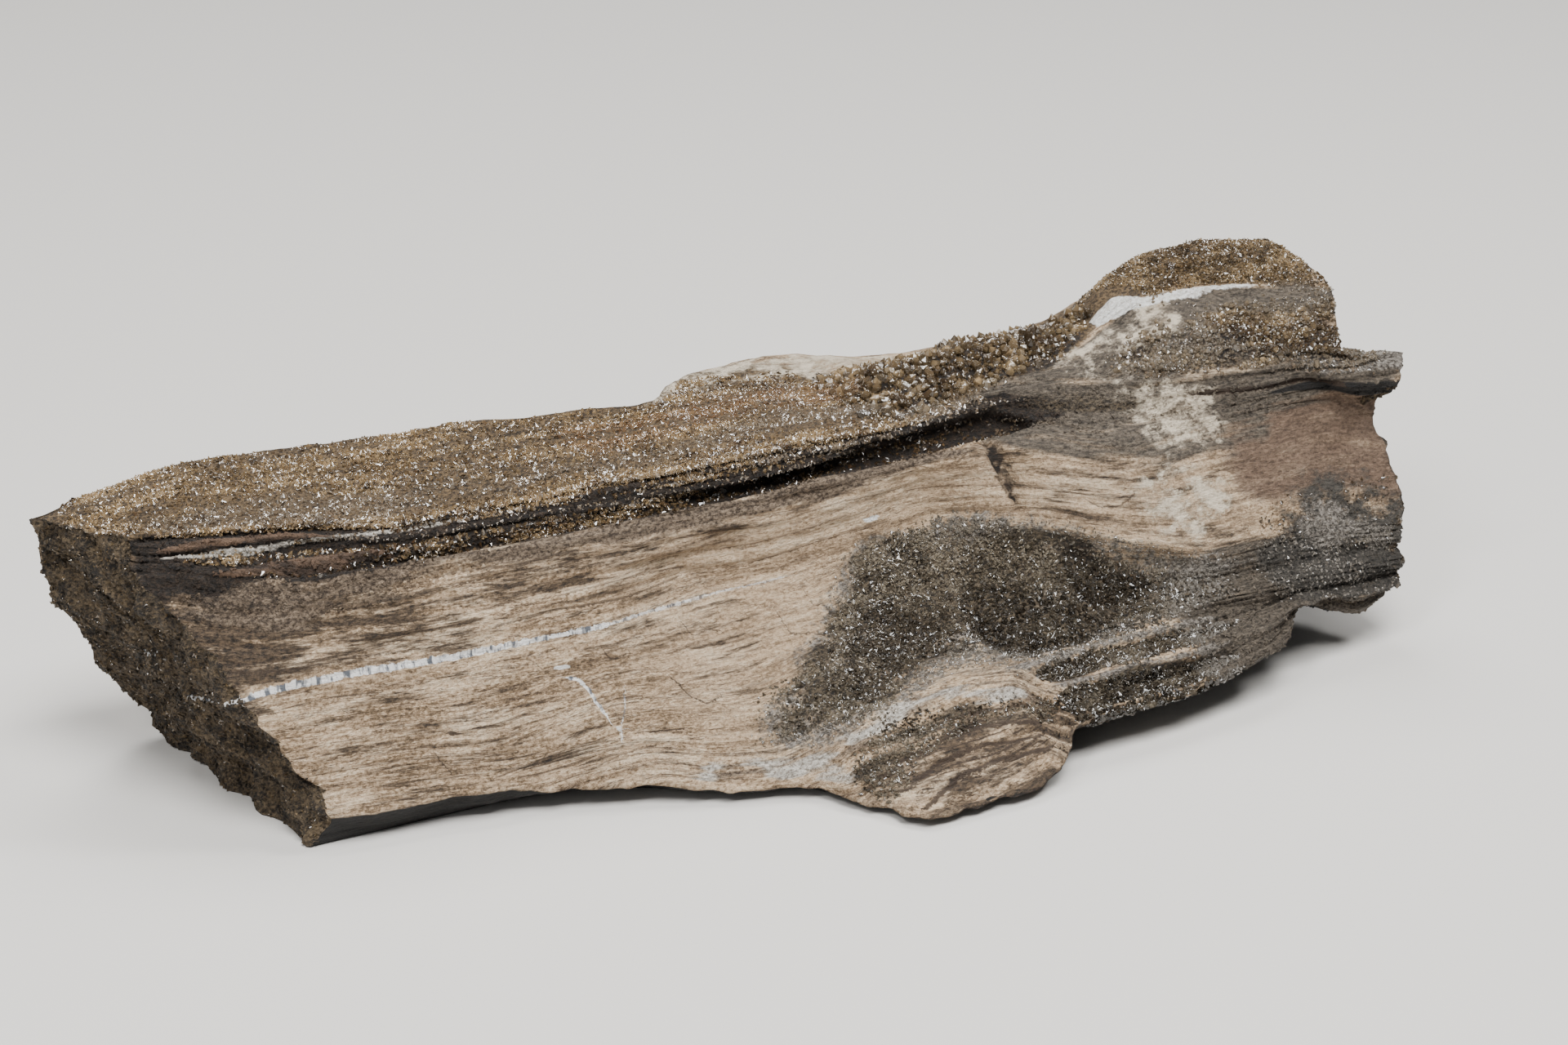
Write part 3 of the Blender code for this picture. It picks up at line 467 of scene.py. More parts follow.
def bandCover(name, soft, x, across):
    # 1 inside the band and 0 outside, with cubic edges as wide as soft on both sides of bounds that wander
    seed, knots = bands[name][0], np.array(bands[name][1], float)
    chart = np.stack([x * bandEdge["squeeze"], across, np.full_like(across, bandEdge["layer"])], axis=-1)
    wander = bandEdge["wander"] * soft * latticeNoise(chart, bandEdge["size"] + soft, seed)
    moved = across + wander
    upper = np.interp(x, knots[:, 0], acrossOf(knots[:, 1]))
    lower = np.interp(x, knots[:, 0], acrossOf(knots[:, 2]))
    inside = rise(-soft, soft, moved - upper) * (1 - rise(-soft, soft, moved - lower))
    ends = bandEdge["end"] + bandEdge["endSoft"] * soft
    return inside * rise(0, ends, x + wander - knots[0, 0]) * rise(0, ends, knots[-1, 0] - x - wander)


def strongest(parts, x, across):
    # the highest of several bands' covers, each times its own strength
    return np.max([strength * bandCover(name, soft, x, across) for name, strength, soft in parts], axis=0)


def lineField(lines, x, across, measure=acrossOf):
    # to the nearest line: the distance with its side as its sign, the line's half width, and its strength
    limit = lineReach["limit"]
    best = np.full(x.shape, 6 * limit)
    signed, half, strength = (np.zeros(x.shape) for k in range(3))
    for width, amount, points in lines:
        knots = np.array([(px, measure(place)) for px, place in points])
        for start, end in zip(knots[:-1], knots[1:]):
            way = end - start
            ax, ay = x - start[0], across - start[1]
            t = np.clip((ax * way[0] + ay * way[1]) / (way @ way), 0, 1)
            away = np.hypot(ax - t * way[0], ay - t * way[1])
            closer = away < best
            side = np.sign(way[0] * ay - way[1] * ax)
            best = np.where(closer, away, best)
            signed = np.where(closer, side * away, signed)
            half = np.where(closer, width, half)
            strength = np.where(closer, amount, strength)
    return np.clip(signed, -limit, limit), half, strength * (1 - rise(*lineReach["fade"], best))


beforeAll, afterAll = (-900, -899), (899, 900)     # ramps off the stone, where a zone has no bound
wood = {
    "columns": 390,
    "hollowDepth": 3.6,
    "hollowLeft": (54.8, 68.8),             # x where it starts: low down, and at the height of the vein
    "hollowRamp": 9.0,
    "hollowRight": (96.0, 112.0),
    "hollowRound": ((11.95, 12.35), (12.75, 13.1)),      # the places round the section where it sinks in
    "ledgeHeight": 0.7,
    "ledgeStart": (84.0, 98.0),
    "ledgeRound": ((12.3, 12.6), (13.7, 14.0)),
    "ledgesPerRail": 1.6,
    # height, size, seed, squeeze along the grain
    "lumps": [(0.72, 15.0, 3, 1), (0.36, 6.5, 5, 1), (0.4, 4.0, 8, 0.35), (0.22, 2.4, 31, 0.5),
              (0.13, 1.2, 32, 0.6), (0.07, 0.7, 33, 0.8)],
    "grain": [(0.09, 0.9, 42, 0.1)],
    "grainDrift": [(0.8, 14.0, 41, 1)],
    "strataDrift": [(1.4, 9.0, 43, 0.3), (0.5, 3.0, 44, 0.3)],
    "footLumps": [(0.5, 2.6, 34, 1), (0.25, 1.2, 35, 1)],
    "roughLumps": [(0.28, 1.6, 36, 0.45), (0.16, 0.8, 37, 0.7)],
    "endLumps": [(2.2, 9.0, 11, 1), (0.9, 4.0, 12, 1)],
    "endGrit": [(0.75, 2.2, 13, 1), (0.4, 1.0, 14, 1)],
    "endJag": [(1.0, 3.4, 15, 1), (0.6, 1.5, 16, 1)],
    "lumpsFrom": (0.2, 3.5),                # heights between which the lumps come in above the flat underside
    "strataHeight": 0.62,
    # share, thickness in mm, part of it that climbs, its middle level; the drop back at the end
    "strata": [(1.0, 1.7, 0.25, 0.5), (0.4, 0.9, 0.7, 0.4)],
    "strataDrop": (0.75, 1.0),
    "strataLeast": 0.28,
    # how much of it shows, then between which ramps of x and of place
    "strataZones": [
        (0.6, ((96, 106), afterAll), ((6.6, 7.0), (10.9, 11.1))),         # knob
        (0.55, ((96, 112), afterAll), ((11.8, 12.2), (13.8, 14.0))),      # grey stone on the right
        (0.5, (beforeAll, (90, 100)), ((9.0, 9.1), (11.0, 11.5))),        # ridge
        (0.8, ((56, 64), (84, 88)), ((13.1, 13.3), (13.9, 14.0))),        # bulge under the hollow
        (0.6, (beforeAll, (40, 75)), ((11.0, 11.2), (11.6, 12.0))),       # upper left of the front
    ],
    # the layers' bend low down on the front: climbs in mm and between which x they come
    "bendAcross": (75, 92),
    "bends": [(6.5, (18, 40)), (6.0, (50, 61)), (-6.5, (78, 85))],
    "crackDepth": 0.12,
    "crackWidth": 0.4,
    "roughBands": ("sugary", "belowLip", "rightGrey", "blueGrey", "creamUpper", "creamLower", "topGrey"),
    "roughSoft": 1.5,
    "footRound": ((13.6, 13.95), (14.3, 14.9)),
    "footFrom": (0.3, 1.2),                 # heights between which the foot's lumps come in
    "footLeft": (14, 26),                   # x before which only the least of them shows
    "footLeast": 0.25,
    "jagLength": 5.0,
    "rightJag": 0.45,
    # shares of the way from the skin's end to the middle of a broken end, closer together near the edge
    "endRings": (0.012, 0.03, 0.055, 0.085, 0.12, 0.155, 0.19, 0.225, 0.26, 0.295, 0.33, 0.37, 0.41, 0.45,
                 0.49, 0.53, 0.58, 0.63, 0.68, 0.73, 0.79, 0.85, 0.92),
    "endMiddle": {"left": (-7.5, 16.5, 15.0), "right": (134.5, 3.0, 22.0)},
    "endLumpsFrom": 0.2,
    "endGritFrom": 0.03,
    "endPatternAt": 300.0,                  # keeps the pattern of the broken ends clear of the skin's
    "brokenEdge": 0.9,
    "brokenEdgeWidth": (0.3, 2.6),
    "brokenEdgeFoot": (11.8, 12.5),
}


def lumpy(points, lumps):
    # the sum of several sizes of lattice noise, each squeezed along the grain by its own share
    return sum(height * latticeNoise(points * np.array((squeeze, 1, 1)), size, seed)
               for height, size, seed, squeeze in lumps)


def swept(x, across):
    # the grain's own level: across, with climbs low down where the layers bend up round the hollow and back
    climbs = sum(climb * rise(*ramp, x) for climb, ramp in wood["bends"])
    return across + rise(*wood["bendAcross"], across) * climbs


def strataRelief(grid, place, across):
    # each layer climbs along its own noise and drops back at the next whole number of its thickness
    x = grid[..., 0]
    level = swept(x, across) + lumpy(grid, wood["strataDrift"])
    strata = sum(share * (between(level / thick % 1, (0, climb), wood["strataDrop"]) - middle)
                 for share, thick, climb, middle in wood["strata"])
    shows = np.full_like(x, wood["strataLeast"])
    for share, along, around in wood["strataZones"]:
        shows = np.maximum(shows, share * between(x, *along) * between(place, *around))
    return wood["strataHeight"] * strata * shows


def woodRelief(grid, place, across):
    # how far the skin moves out: the hollow, the ledges, the lumps, the grain and the bands' own steps
    x, height = grid[..., 0], grid[..., 2]
    left = np.interp(place, (at["vein"], at["hollowLow"]), wood["hollowLeft"][::-1])
    hollow = rise(0, wood["hollowRamp"], x - left) * (1 - rise(*wood["hollowRight"], x))
    ledges = np.sin((place - at["vein"]) * 2 * np.pi * wood["ledgesPerRail"])
    ledges = ledges * between(place, *wood["ledgeRound"]) * rise(*wood["ledgeStart"], x)
    total = wood["ledgeHeight"] * ledges - wood["hollowDepth"] * hollow * between(place, *wood["hollowRound"])
    total += lumpy(grid, wood["lumps"]) * rise(*wood["lumpsFrom"], height)
    chart = np.stack([x, across + lumpy(grid, wood["grainDrift"]), np.zeros_like(x)], axis=-1)
    total += lumpy(chart, wood["grain"])
    total += strataRelief(grid, place, across)
    for name, (step, soft) in steps.items():
        total += step * bandCover(name, soft, x, across)
    away, half, strength = lineField(darkLines, x, across)
    total -= wood["crackDepth"] * strength * (1 - rise(0, wood["crackWidth"], np.abs(away)))
    rough = [(name, 1.0, wood["roughSoft"]) for name in wood["roughBands"]]
    total += lumpy(grid, wood["roughLumps"]) * strongest(rough, x, across)
    foot = between(place, *wood["footRound"]) * rise(*wood["footFrom"], height)
    foot = foot * (wood["footLeast"] + (1 - wood["footLeast"]) * rise(*wood["footLeft"], x))
    return total + lumpy(grid, wood["footLumps"]) * foot


def gridFaces(columns, rows):
    # quads of a skin closed round the section
    i, j = np.meshgrid(np.arange(columns), np.arange(rows), indexing="ij")
    a, b = i * rows + j, i * rows + (j + 1) % rows
    return np.stack([a, b, b + rows, a + rows], axis=-1).reshape(-1, 4)


def fillMesh(name, points, faces, smooth=True):
    # one mesh from millimetre points and lists of face arrays, in the frame's metres
    mesh = bpy.data.meshes.new(name)
    mesh.vertices.add(len(points))
    mesh.vertices.foreach_set("co", ((points + datum) * mm).astype(np.float32).ravel())
    flat = np.concatenate([part.ravel() for part in faces])
    sizes = np.concatenate([np.full(len(part), part.shape[1]) for part in faces])
    mesh.loops.add(len(flat))
    mesh.loops.foreach_set("vertex_index", flat.astype(np.int32))
    mesh.polygons.add(len(sizes))
    mesh.polygons.foreach_set("loop_start", np.concatenate([[0], np.cumsum(sizes)[:-1]]).astype(np.int32))
    mesh.polygons.foreach_set("use_smooth", np.full(len(sizes), smooth))
    mesh.update(calc_edges=True)
    mesh.validate()
    made = bpy.data.objects.new(name, mesh)
    bpy.context.scene.collection.objects.link(made)
    return made


def setColours(made, name, values):
    # one colour per point, from rows of four numbers
    layer = made.data.attributes.new(name, "FLOAT_COLOR", "POINT")
    layer.data.foreach_set("color", values.astype(np.float32).ravel())


def setPattern(made, values):
    # the grain pattern's two measures at each face corner
    made.data.uv_layers.new(name="grain").data.foreach_set("uv", values.astype(np.float32).ravel())


plain, place, across = loftSkin(wood["columns"])
placeGrid = np.broadcast_to(place, plain.shape[:2])
acrossGrid = np.broadcast_to(across, plain.shape[:2])
skin = plain + gridNormals(plain) * woodRelief(plain, placeGrid, acrossGrid)[..., None]
nearLeft = 1 - rise(0, wood["jagLength"], plain[..., 0] - plain[:1, :, 0])
nearRight = 1 - rise(0, wood["jagLength"], plain[-1:, :, 0] - plain[..., 0])
skin[..., 0] += lumpy(plain, wood["endJag"]) * (nearLeft + wood["rightJag"] * nearRight)
skin[..., 2] = np.maximum(skin[..., 2], 0.0)
columns, rows = skin.shape[:2]
print("skin shaped", skin.shape)

# Each broken end: its row of the skin, the way it faces along the grain, and the order of corners that turns
# its four-sided and three-sided faces outwards.
brokenEnds = {
    "left": (0, -1.0, [0, 1, 2, 3], [0, 1, 2]),
    "right": (columns - 1, 1.0, [0, 3, 2, 1], [0, 2, 1]),
}


def endRings(side):
    # rings from the skin's end to a middle point, pushed along the grain by lumps
    row, outward = brokenEnds[side][:2]
    loop, middle = skin[row], np.array(wood["endMiddle"][side])
    made = []
    for share in wood["endRings"]:
        ring = loop + (middle - loop) * share
        grit = lumpy(ring, wood["endGrit"]) * rise(0, wood["endGritFrom"], share)
        ring[:, 0] += outward * (lumpy(ring, wood["endLumps"]) * rise(0, wood["endLumpsFrom"], share) + grit)
        ring[:, 2] = np.maximum(ring[:, 2], 0.0)
        made.append(ring)
    return made, middle


points, count = [skin.reshape(-1, 3)], columns * rows
quads, fans, capRings = [gridFaces(columns - 1, rows)], [], {}
for side, (row, outward, quadTurn, fanTurn) in brokenEnds.items():
    capRings[side], middle = endRings(side)
    last = np.arange(row * rows, (row + 1) * rows)
    for ring in capRings[side]:
        fresh = np.arange(count, count + rows)
        quads.append(np.stack([last, fresh, np.roll(fresh, -1), np.roll(last, -1)], axis=-1)[:, quadTurn])
        points.append(ring)
        last, count = fresh, count + rows
    points.append(middle[None])
    fans.append(np.stack([last, np.full(rows, count), np.roll(last, -1)], axis=-1)[:, fanTurn])
    count += 1
points = np.concatenate(points)
woodPiece = fillMesh("woodBody", points, [np.concatenate(quads), *fans])
print("wood", len(woodPiece.data.polygons), "faces")

# The pattern runs by x and across on the skin, and by y and z on the broken ends.
skinCorners = (columns - 1) * rows * 4
pattern = np.stack([skin[..., 0], swept(skin[..., 0], acrossGrid)], axis=-1).reshape(-1, 2)
corners = np.concatenate([part.ravel() for part in [*quads, *fans]])
uv = (points[:, 1:] + (0, wood["endPatternAt"]))[corners]
uv[:skinCorners] = pattern[corners[:skinCorners]]
lastRow = uv[:skinCorners].reshape(columns - 1, rows, 4, 2)[:, -1]
lastRow[:, 1:3, 1] = swept(lastRow[:, 1:3, 0], acrossAt[-1])
setPattern(woodPiece, uv)

# What kind of stone shows at each point, and how near the thin lines are.
skinX, skinAcross = skin[..., 0].ravel(), acrossGrid.ravel()
skinCount, capCount = len(skinX), len(points) - len(skinX)
kinds = {kind: np.append(strongest(parts, skinX, skinAcross), np.zeros(capCount))
         for kind, parts in stones.items()}
brokenEdge = 1 - rise(*wood["brokenEdgeWidth"], skin[..., 0] - skin[:1, :, 0])
brokenEdge = wood["brokenEdge"] * brokenEdge * (1 - rise(*wood["brokenEdgeFoot"], placeGrid))
kinds["umber"][:skinCount] = np.maximum(kinds["umber"][:skinCount], brokenEdge.ravel())
kinds["fracture"] = np.append(np.zeros(skinCount), np.ones(capCount))
stoneGroups = {
    "stonesA": ("smoky", "grey", "brown", "white"),
    "stonesB": ("pink", "golden", "foot", "fracture"),
    "stonesC": ("umber", "sugary", "frost", "chalk"),
    "stonesD": ("deep", "cream", "slate", "calm"),
}
noLine = (lineReach["limit"], 0.0, 0.0, 1.0)
fields = {name: np.tile(noLine, (len(points), 1)) for name in ("paleLines", "darkLines")}
for name, lines in (("paleLines", paleLines), ("darkLines", darkLines)):
    fields[name][:skinCount, :3] = np.stack(lineField(lines, skinX, skinAcross), axis=-1)
leftEnd = slice(skinCount, skinCount + capCount // 2)
endField = lineField(endLines, *points[leftEnd, 1:].T, measure=float)      # by y and z as they are
fields["paleLines"][leftEnd, :3] = np.stack(endField, axis=-1)


def setStones(made, kinds, fields):
    # the kinds of stone four to an attribute, and one attribute for each kind of line
    for name, group in stoneGroups.items():
        setColours(made, name, np.stack([kinds[kind] for kind in group], axis=-1))
    for name, field in fields.items():
        setColours(made, name, field)


setStones(woodPiece, kinds, fields)


def feed(tree, node, inputs):
    # for each of a node's inputs, a value, a hex colour or the output that feeds it
    for key, value in inputs.items():
        if isinstance(value, bpy.types.NodeSocket):
            tree.links.new(value, node.inputs[key])
        else:
            node.inputs[key].default_value = linear(value) if isinstance(value, str) else value


def addNode(tree, kind, inputs=None, output=0, **settings):
    # any node with its settings and inputs; what comes back is the output that is asked for
    made = tree.nodes.new("ShaderNode" + kind)
    for key, value in settings.items():
        setattr(made, key, value)
    feed(tree, made, inputs or {})
    return made.outputs[output]


def newMaterial(name):
    # a material, its node tree and its shader
    material = bpy.data.materials.new(name)
    material.use_nodes = True
    return material, material.node_tree, material.node_tree.nodes["Principled BSDF"]


def millimetres(tree):
    # the place on the object in mm, as one to the metre times a thousand
    return addNode(tree, "VectorMath", {0: addNode(tree, "TexCoord", output="Object"), "Scale": 1 / mm},
                   operation="SCALE")


multiply, add, subtract = ({"operation": name} for name in ("MULTIPLY", "ADD", "SUBTRACT"))
multiplyAdd, absolute = {"operation": "MULTIPLY_ADD"}, {"operation": "ABSOLUTE"}
smoothly = {"interpolation_type": "SMOOTHSTEP"}       # 0 at the first bound, 1 at the second, a cubic between
inColour = {"data_type": "RGBA", "output": 2}

# Silicified wood, broken and weathered: dull tan stone with fine dark dashes along the grain, and other kinds
# of stone laid over it. The eye sees a matte surface whose dirt and laminations carry most of the contrast;
# the rest is painted shade, on the underside, under the lip and in the ridge, the notch and the pits.
woodLook = {
    "roughness": 0.72,
    "bends": 0.035,                          # to a millimetre: the layers bend about every 29 mm
    "bendHeight": 3.0,                       # mm
    # what it follows, squeeze, lumps to a millimetre, detail, roughness; grains of 0.4 mm are 2.7 to a
    # millimetre, coarser than the real ones so that they show
    "patterns": {
        "streak": ("swayed", (0.13, 1, 1), 1.3, 4.0, 0.7),
        "fibre": ("swayed", (0.24, 1, 1), 3.4, 3.0, 0.65),
        "bands": ("swayed", (0.06, 1, 1), 0.33, 2.0, 0.5),
        "layers": ("swayed", (0.16, 1, 1), 0.6, 4.0, 0.6),
        "strips": ("swayed", (0.13, 1, 1), 0.95, 5.0, 0.7),
        "blotch": ("solid", (0.5, 1, 1), 0.22, 3.0, 0.6),
        "mottle": ("solid", (0.7, 1, 1), 0.5, 4.0, 0.75),
        "lamina": ("swayed", (0.13, 1, 1), 0.75, 5.0, 0.68),
        "dash": ("swayed", (0.26, 1, 1), 2.4, 3.0, 0.6),
        "speck": ("solid", (1, 1, 1), 3.2, 2.0, 0.6),
        "grit": ("solid", (1, 1, 1), 1.1, 3.0, 0.65),
        "grains": ("solid", (0.7, 1, 1), 2.7, 4.0, 0.75),
        "bars": ("grain", (1, 0.3, 1), 0.8, 3.0, 0.7),
    },
    "mixtures": {"mixed": (0.55, "fibre", "grains"), "mottledGrains": (0.6, "mottle", "grains")},
    "tones": {"streak": 0.22, "fibre": 0.08, "bands": 0.16, "grains": 0.38, "blotch": 0.16},
    "darkest": "#443524",
    "tans": [(0.39, 0.46, "#8a7256"), (0.45, 0.51, "#c5aa8b"), (0.50, 0.57, "#ead4b6")],   # tones, colour
    "calm": "#bda488",                       # the even tan that calm stone is drawn in to
    "calmTone": 0.53,
    "calmShare": 0.15,
    "calmLess": -0.3,                        # how much fainter its dashes and seams are
    "dash": "#453222",
    "dashGrains": 0.7,
    "dashTones": (0.91, 1.02),
    "dashShare": 0.9,
    "dashPatches": (0.42, 0.56),
    "seamWidth": (0.002, 0.02),
    "seamPatches": (0.44, 0.58),
    "seamShare": 0.85,
    "crack": "#3a2c20",
    "vein": ("#686d74", "#fbf9f6"),
    "veinBars": (0.41, 0.52),
    "lineEdge": (-0.03, 0.07),               # mm
    "lineWander": 0.7,                       # mm
    "lineThick": (1.6, 0.2),                 # times the pattern, and the least
    "edgeGate": 6.0,                         # how soon a ragged edge comes in with its stone's cover
    # kind, ragged by, of which pattern, edge, dark, light, pattern, its contrast
    "layers": [
        ("umber", 1.7, "strips", 0.3, "#20170f", "#6f5b45", "mixed", (0.38, 0.66)),
        # pink: colours kept dark, partly painted shade on the right face
        ("pink", 0.7, "layers", 0.4, "#4b392b", "#8b725e", "mixed", (0.34, 0.68)),
        ("golden", 0.5, "grit", 0.25, "#271c10", "#80694a", "grains", (0.36, 0.66)),
        ("grey", 1.2, "layers", 0.3, "#2c251d", "#7d7162", "mixed", (0.36, 0.68)),
        ("cream", 1.8, "mottle", 0.4, "#8d7e6a", "#dfd1ba", "mottle", (0.36, 0.62)),
        ("slate", 1.2, "mottle", 0.35, "#151310", "#58524a", "mottledGrains", (0.36, 0.66)),
        ("sugary", 1.4, "strips", 0.3, "#372a1e", "#998671", "grains", (0.36, 0.68)),
        ("frost", 1.1, "grit", 0.3, "#3a332b", "#a69e94", "grains", (0.36, 0.66)),
        # deep: dark brown stone, also painted shade under the lip, in the ridge, the notch and the pits
        ("deep", 0.5, "grit", 0.25, "#100a06", "#433324", "mixed", (0.40, 0.70)),
        ("brown", 0.3, "streak", 0.15, "#2d2118", "#6f5744", "streak", (0.36, 0.64)),
        ("smoky", 1.2, "layers", 0.3, "#150e07", "#6b5d49", "grains", (0.38, 0.66)),
        ("white", 1.4, "layers", 0.25, "#857a6c", "#dfd9ce", "grains", (0.34, 0.62)),
        ("chalk", 0.6, "grit", 0.15, "#c4beb4", "#f7f6f2", "grains", (0.34, 0.6)),
        # foot: near black, painted shade on the underside and under the prong
        ("foot", 0.4, "streak", 0.2, "#070504", "#211b16", "fibre", (0.40, 0.70)),
        # fracture: dark brown stone of the broken ends, drawn darker still as painted shade of the left end
        # facing away from the light
        ("fracture", 0.0, "grit", 0.3, "#150e08", "#7f6c51", "mottledGrains", (0.40, 0.67)),
    ],
    "relief": {"streak": 0.5, "fibre": 0.35, "dash": -0.25, "speck": 0.2, "grains": 0.8},
    "seamRelief": -0.16,
    "reliefDepth": 0.9,                      # mm
}

material, tree, shader = newMaterial("silicifiedWood")
grain, solid = addNode(tree, "UVMap", uv_map="grain"), millimetres(tree)
drift = addNode(tree, "TexNoise", {"Vector": solid, "Scale": woodLook["bends"], "Detail": 1.0})
drift = addNode(tree, "Math", {0: drift, 1: woodLook["bendHeight"]}, **multiply)
sway = addNode(tree, "CombineXYZ", {1: drift})
sources = {"grain": grain, "solid": solid, "swayed": addNode(tree, "VectorMath", {0: grain, 1: sway}, **add)}
masks = {}
for name in (*stoneGroups, *fields):
    stored = addNode(tree, "Attribute", attribute_name=name)
    parts = addNode(tree, "SeparateColor", {0: stored}).node.outputs
    masks[name] = [*parts, stored.node.outputs["Alpha"]]
shows = {kind: masks[name][k] for name, group in stoneGroups.items() for k, kind in enumerate(group)}
lively = addNode(tree, "Math", {0: shows["calm"], 1: woodLook["calmLess"], 2: 1.0}, **multiplyAdd)
patterns = {}
for name, (source, squeeze, scale, detail, rough) in woodLook["patterns"].items():
    squeezed = addNode(tree, "VectorMath", {0: sources[source], 1: squeeze}, **multiply)
    patterns[name] = addNode(tree, "TexNoise", {"Vector": squeezed, "Scale": scale, "Detail": detail,
                                                "Roughness": rough})
for name, (share, first, second) in woodLook["mixtures"].items():
    patterns[name] = addNode(tree, "Mix", {0: share, 2: patterns[first], 3: patterns[second]})

tone = 0.0
for name, share in woodLook["tones"].items():
    tone = addNode(tree, "Math", {0: patterns[name], 1: share, 2: tone}, **multiplyAdd)
even = addNode(tree, "Math", {0: shows["calm"], 1: woodLook["calmShare"]}, **multiply)
tone = addNode(tree, "Mix", {0: even, 2: tone, 3: woodLook["calmTone"]})
colour = woodLook["darkest"]
for low, high, tan in woodLook["tans"]:
    lighter = addNode(tree, "MapRange", {0: tone, 1: low, 2: high}, **smoothly)
    colour = addNode(tree, "Mix", {0: lighter, 6: colour, 7: tan}, **inColour)
colour = addNode(tree, "Mix", {0: even, 6: colour, 7: woodLook["calm"]}, **inColour)

# dark dashes: where the fine pattern and the grains are high together, in patches
low, high = woodLook["dashTones"]
dashes = addNode(tree, "Math", {0: patterns["grains"], 1: woodLook["dashGrains"], 2: patterns["dash"]},
                 **multiplyAdd)
dashes = addNode(tree, "MapRange", {0: dashes, 1: low, 2: high}, **smoothly)
dashes = addNode(tree, "Math", {0: dashes, 1: woodLook["dashShare"]}, **multiply)
low, high = woodLook["dashPatches"]
patches = addNode(tree, "MapRange", {0: patterns["strips"], 1: low, 2: high}, **smoothly)
patches = addNode(tree, "Math", {0: lively, 1: patches}, **multiply)
dashes = addNode(tree, "Math", {0: dashes, 1: patches}, **multiply)
colour = addNode(tree, "Mix", {0: dashes, 6: colour, 7: woodLook["dash"]}, **inColour)

# dark seams between layers: thin lines where the layer pattern passes its middle, in patches
low, high = woodLook["seamWidth"]
seam = addNode(tree, "Math", {0: patterns["lamina"], 1: 0.5}, **subtract)
seam = addNode(tree, "Math", {0: seam}, **absolute)
seam = addNode(tree, "MapRange", {0: seam, 1: low, 2: high}, **smoothly)
seam = addNode(tree, "Math", {0: 1.0, 1: seam}, **subtract)
low, high = woodLook["seamPatches"]
patches = addNode(tree, "MapRange", {0: patterns["layers"], 1: low, 2: high}, **smoothly)
seam = addNode(tree, "Math", {0: seam, 1: patches}, **multiply)
seam = addNode(tree, "Math", {0: seam, 1: lively}, **multiply)
seams = addNode(tree, "Math", {0: seam, 1: woodLook["seamShare"]}, **multiply)
colour = addNode(tree, "Mix", {0: seams, 6: colour, 7: woodLook["dash"]}, **inColour)

# the other kinds of stone, one over the other: each shows past a half of its cover, with an edge made ragged
# by a pattern that counts for nothing where the cover is nought
for kind, ragged, edging, edge, dark, light, look, (low, high) in woodLook["layers"]:
    uneven = addNode(tree, "Math", {0: patterns[edging], 1: -0.5}, **add)
    gate = {0: shows[kind], 1: woodLook["edgeGate"] * ragged}
    gate = addNode(tree, "Math", gate, use_clamp=True, **multiply)
    uneven = addNode(tree, "Math", {0: uneven, 1: gate}, **multiply)
    cover = addNode(tree, "Math", {0: uneven, 1: 2 * ragged, 2: shows[kind]}, **multiplyAdd)
    cover = addNode(tree, "MapRange", {0: cover, 1: 0.5 - edge, 2: 0.5 + edge}, **smoothly)
    grade = addNode(tree, "MapRange", {0: patterns[look], 1: low, 2: high}, **smoothly)
    stone = addNode(tree, "Mix", {0: grade, 6: dark, 7: light}, **inColour)
    colour = addNode(tree, "Mix", {0: cover, 6: colour, 7: stone}, **inColour)

# thin lines: within a half width that comes and goes, of a middle that wanders
wander = woodLook["lineWander"]
wander = addNode(tree, "Math", {0: patterns["grains"], 1: wander, 2: -wander / 2}, **multiplyAdd)
thick, least = woodLook["lineThick"]
low, high = woodLook["veinBars"]
bars = addNode(tree, "MapRange", {0: patterns["bars"], 1: low, 2: high}, **smoothly)
vein = addNode(tree, "Mix", {0: bars, 6: woodLook["vein"][0], 7: woodLook["vein"][1]}, **inColour)
low, high = woodLook["lineEdge"]
for name, stone in (("paleLines", vein), ("darkLines", woodLook["crack"])):
    signed, half, strength = masks[name][:3]
    away = addNode(tree, "Math", {0: addNode(tree, "Math", {0: signed, 1: wander}, **add)}, **absolute)
    inside = addNode(tree, "Math", {0: patterns["grit"], 1: thick, 2: least}, **multiplyAdd)
    inside = addNode(tree, "Math", {0: half, 1: inside}, **multiply)
    inside = addNode(tree, "Math", {0: inside, 1: away}, **subtract)
    inside = addNode(tree, "MapRange", {0: inside, 1: low, 2: high}, **smoothly)
    inside = addNode(tree, "Math", {0: inside, 1: strength}, **multiply)
    colour = addNode(tree, "Mix", {0: inside, 6: colour, 7: stone}, **inColour)

height = 0.0
for name, share in woodLook["relief"].items():
    height = addNode(tree, "Math", {0: patterns[name], 1: share, 2: height}, **multiplyAdd)
height = addNode(tree, "Math", {0: seam, 1: woodLook["seamRelief"], 2: height}, **multiplyAdd)
bump = addNode(tree, "Bump", {"Strength": 1.0, "Distance": woodLook["reliefDepth"] * mm, "Height": height})
feed(tree, shader, {"Base Color": colour, "Roughness": woodLook["roughness"], "Normal": bump})
woodPiece.data.materials.append(material)
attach(woodPiece, "root")
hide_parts("petrified_wood")
print("wood painted")

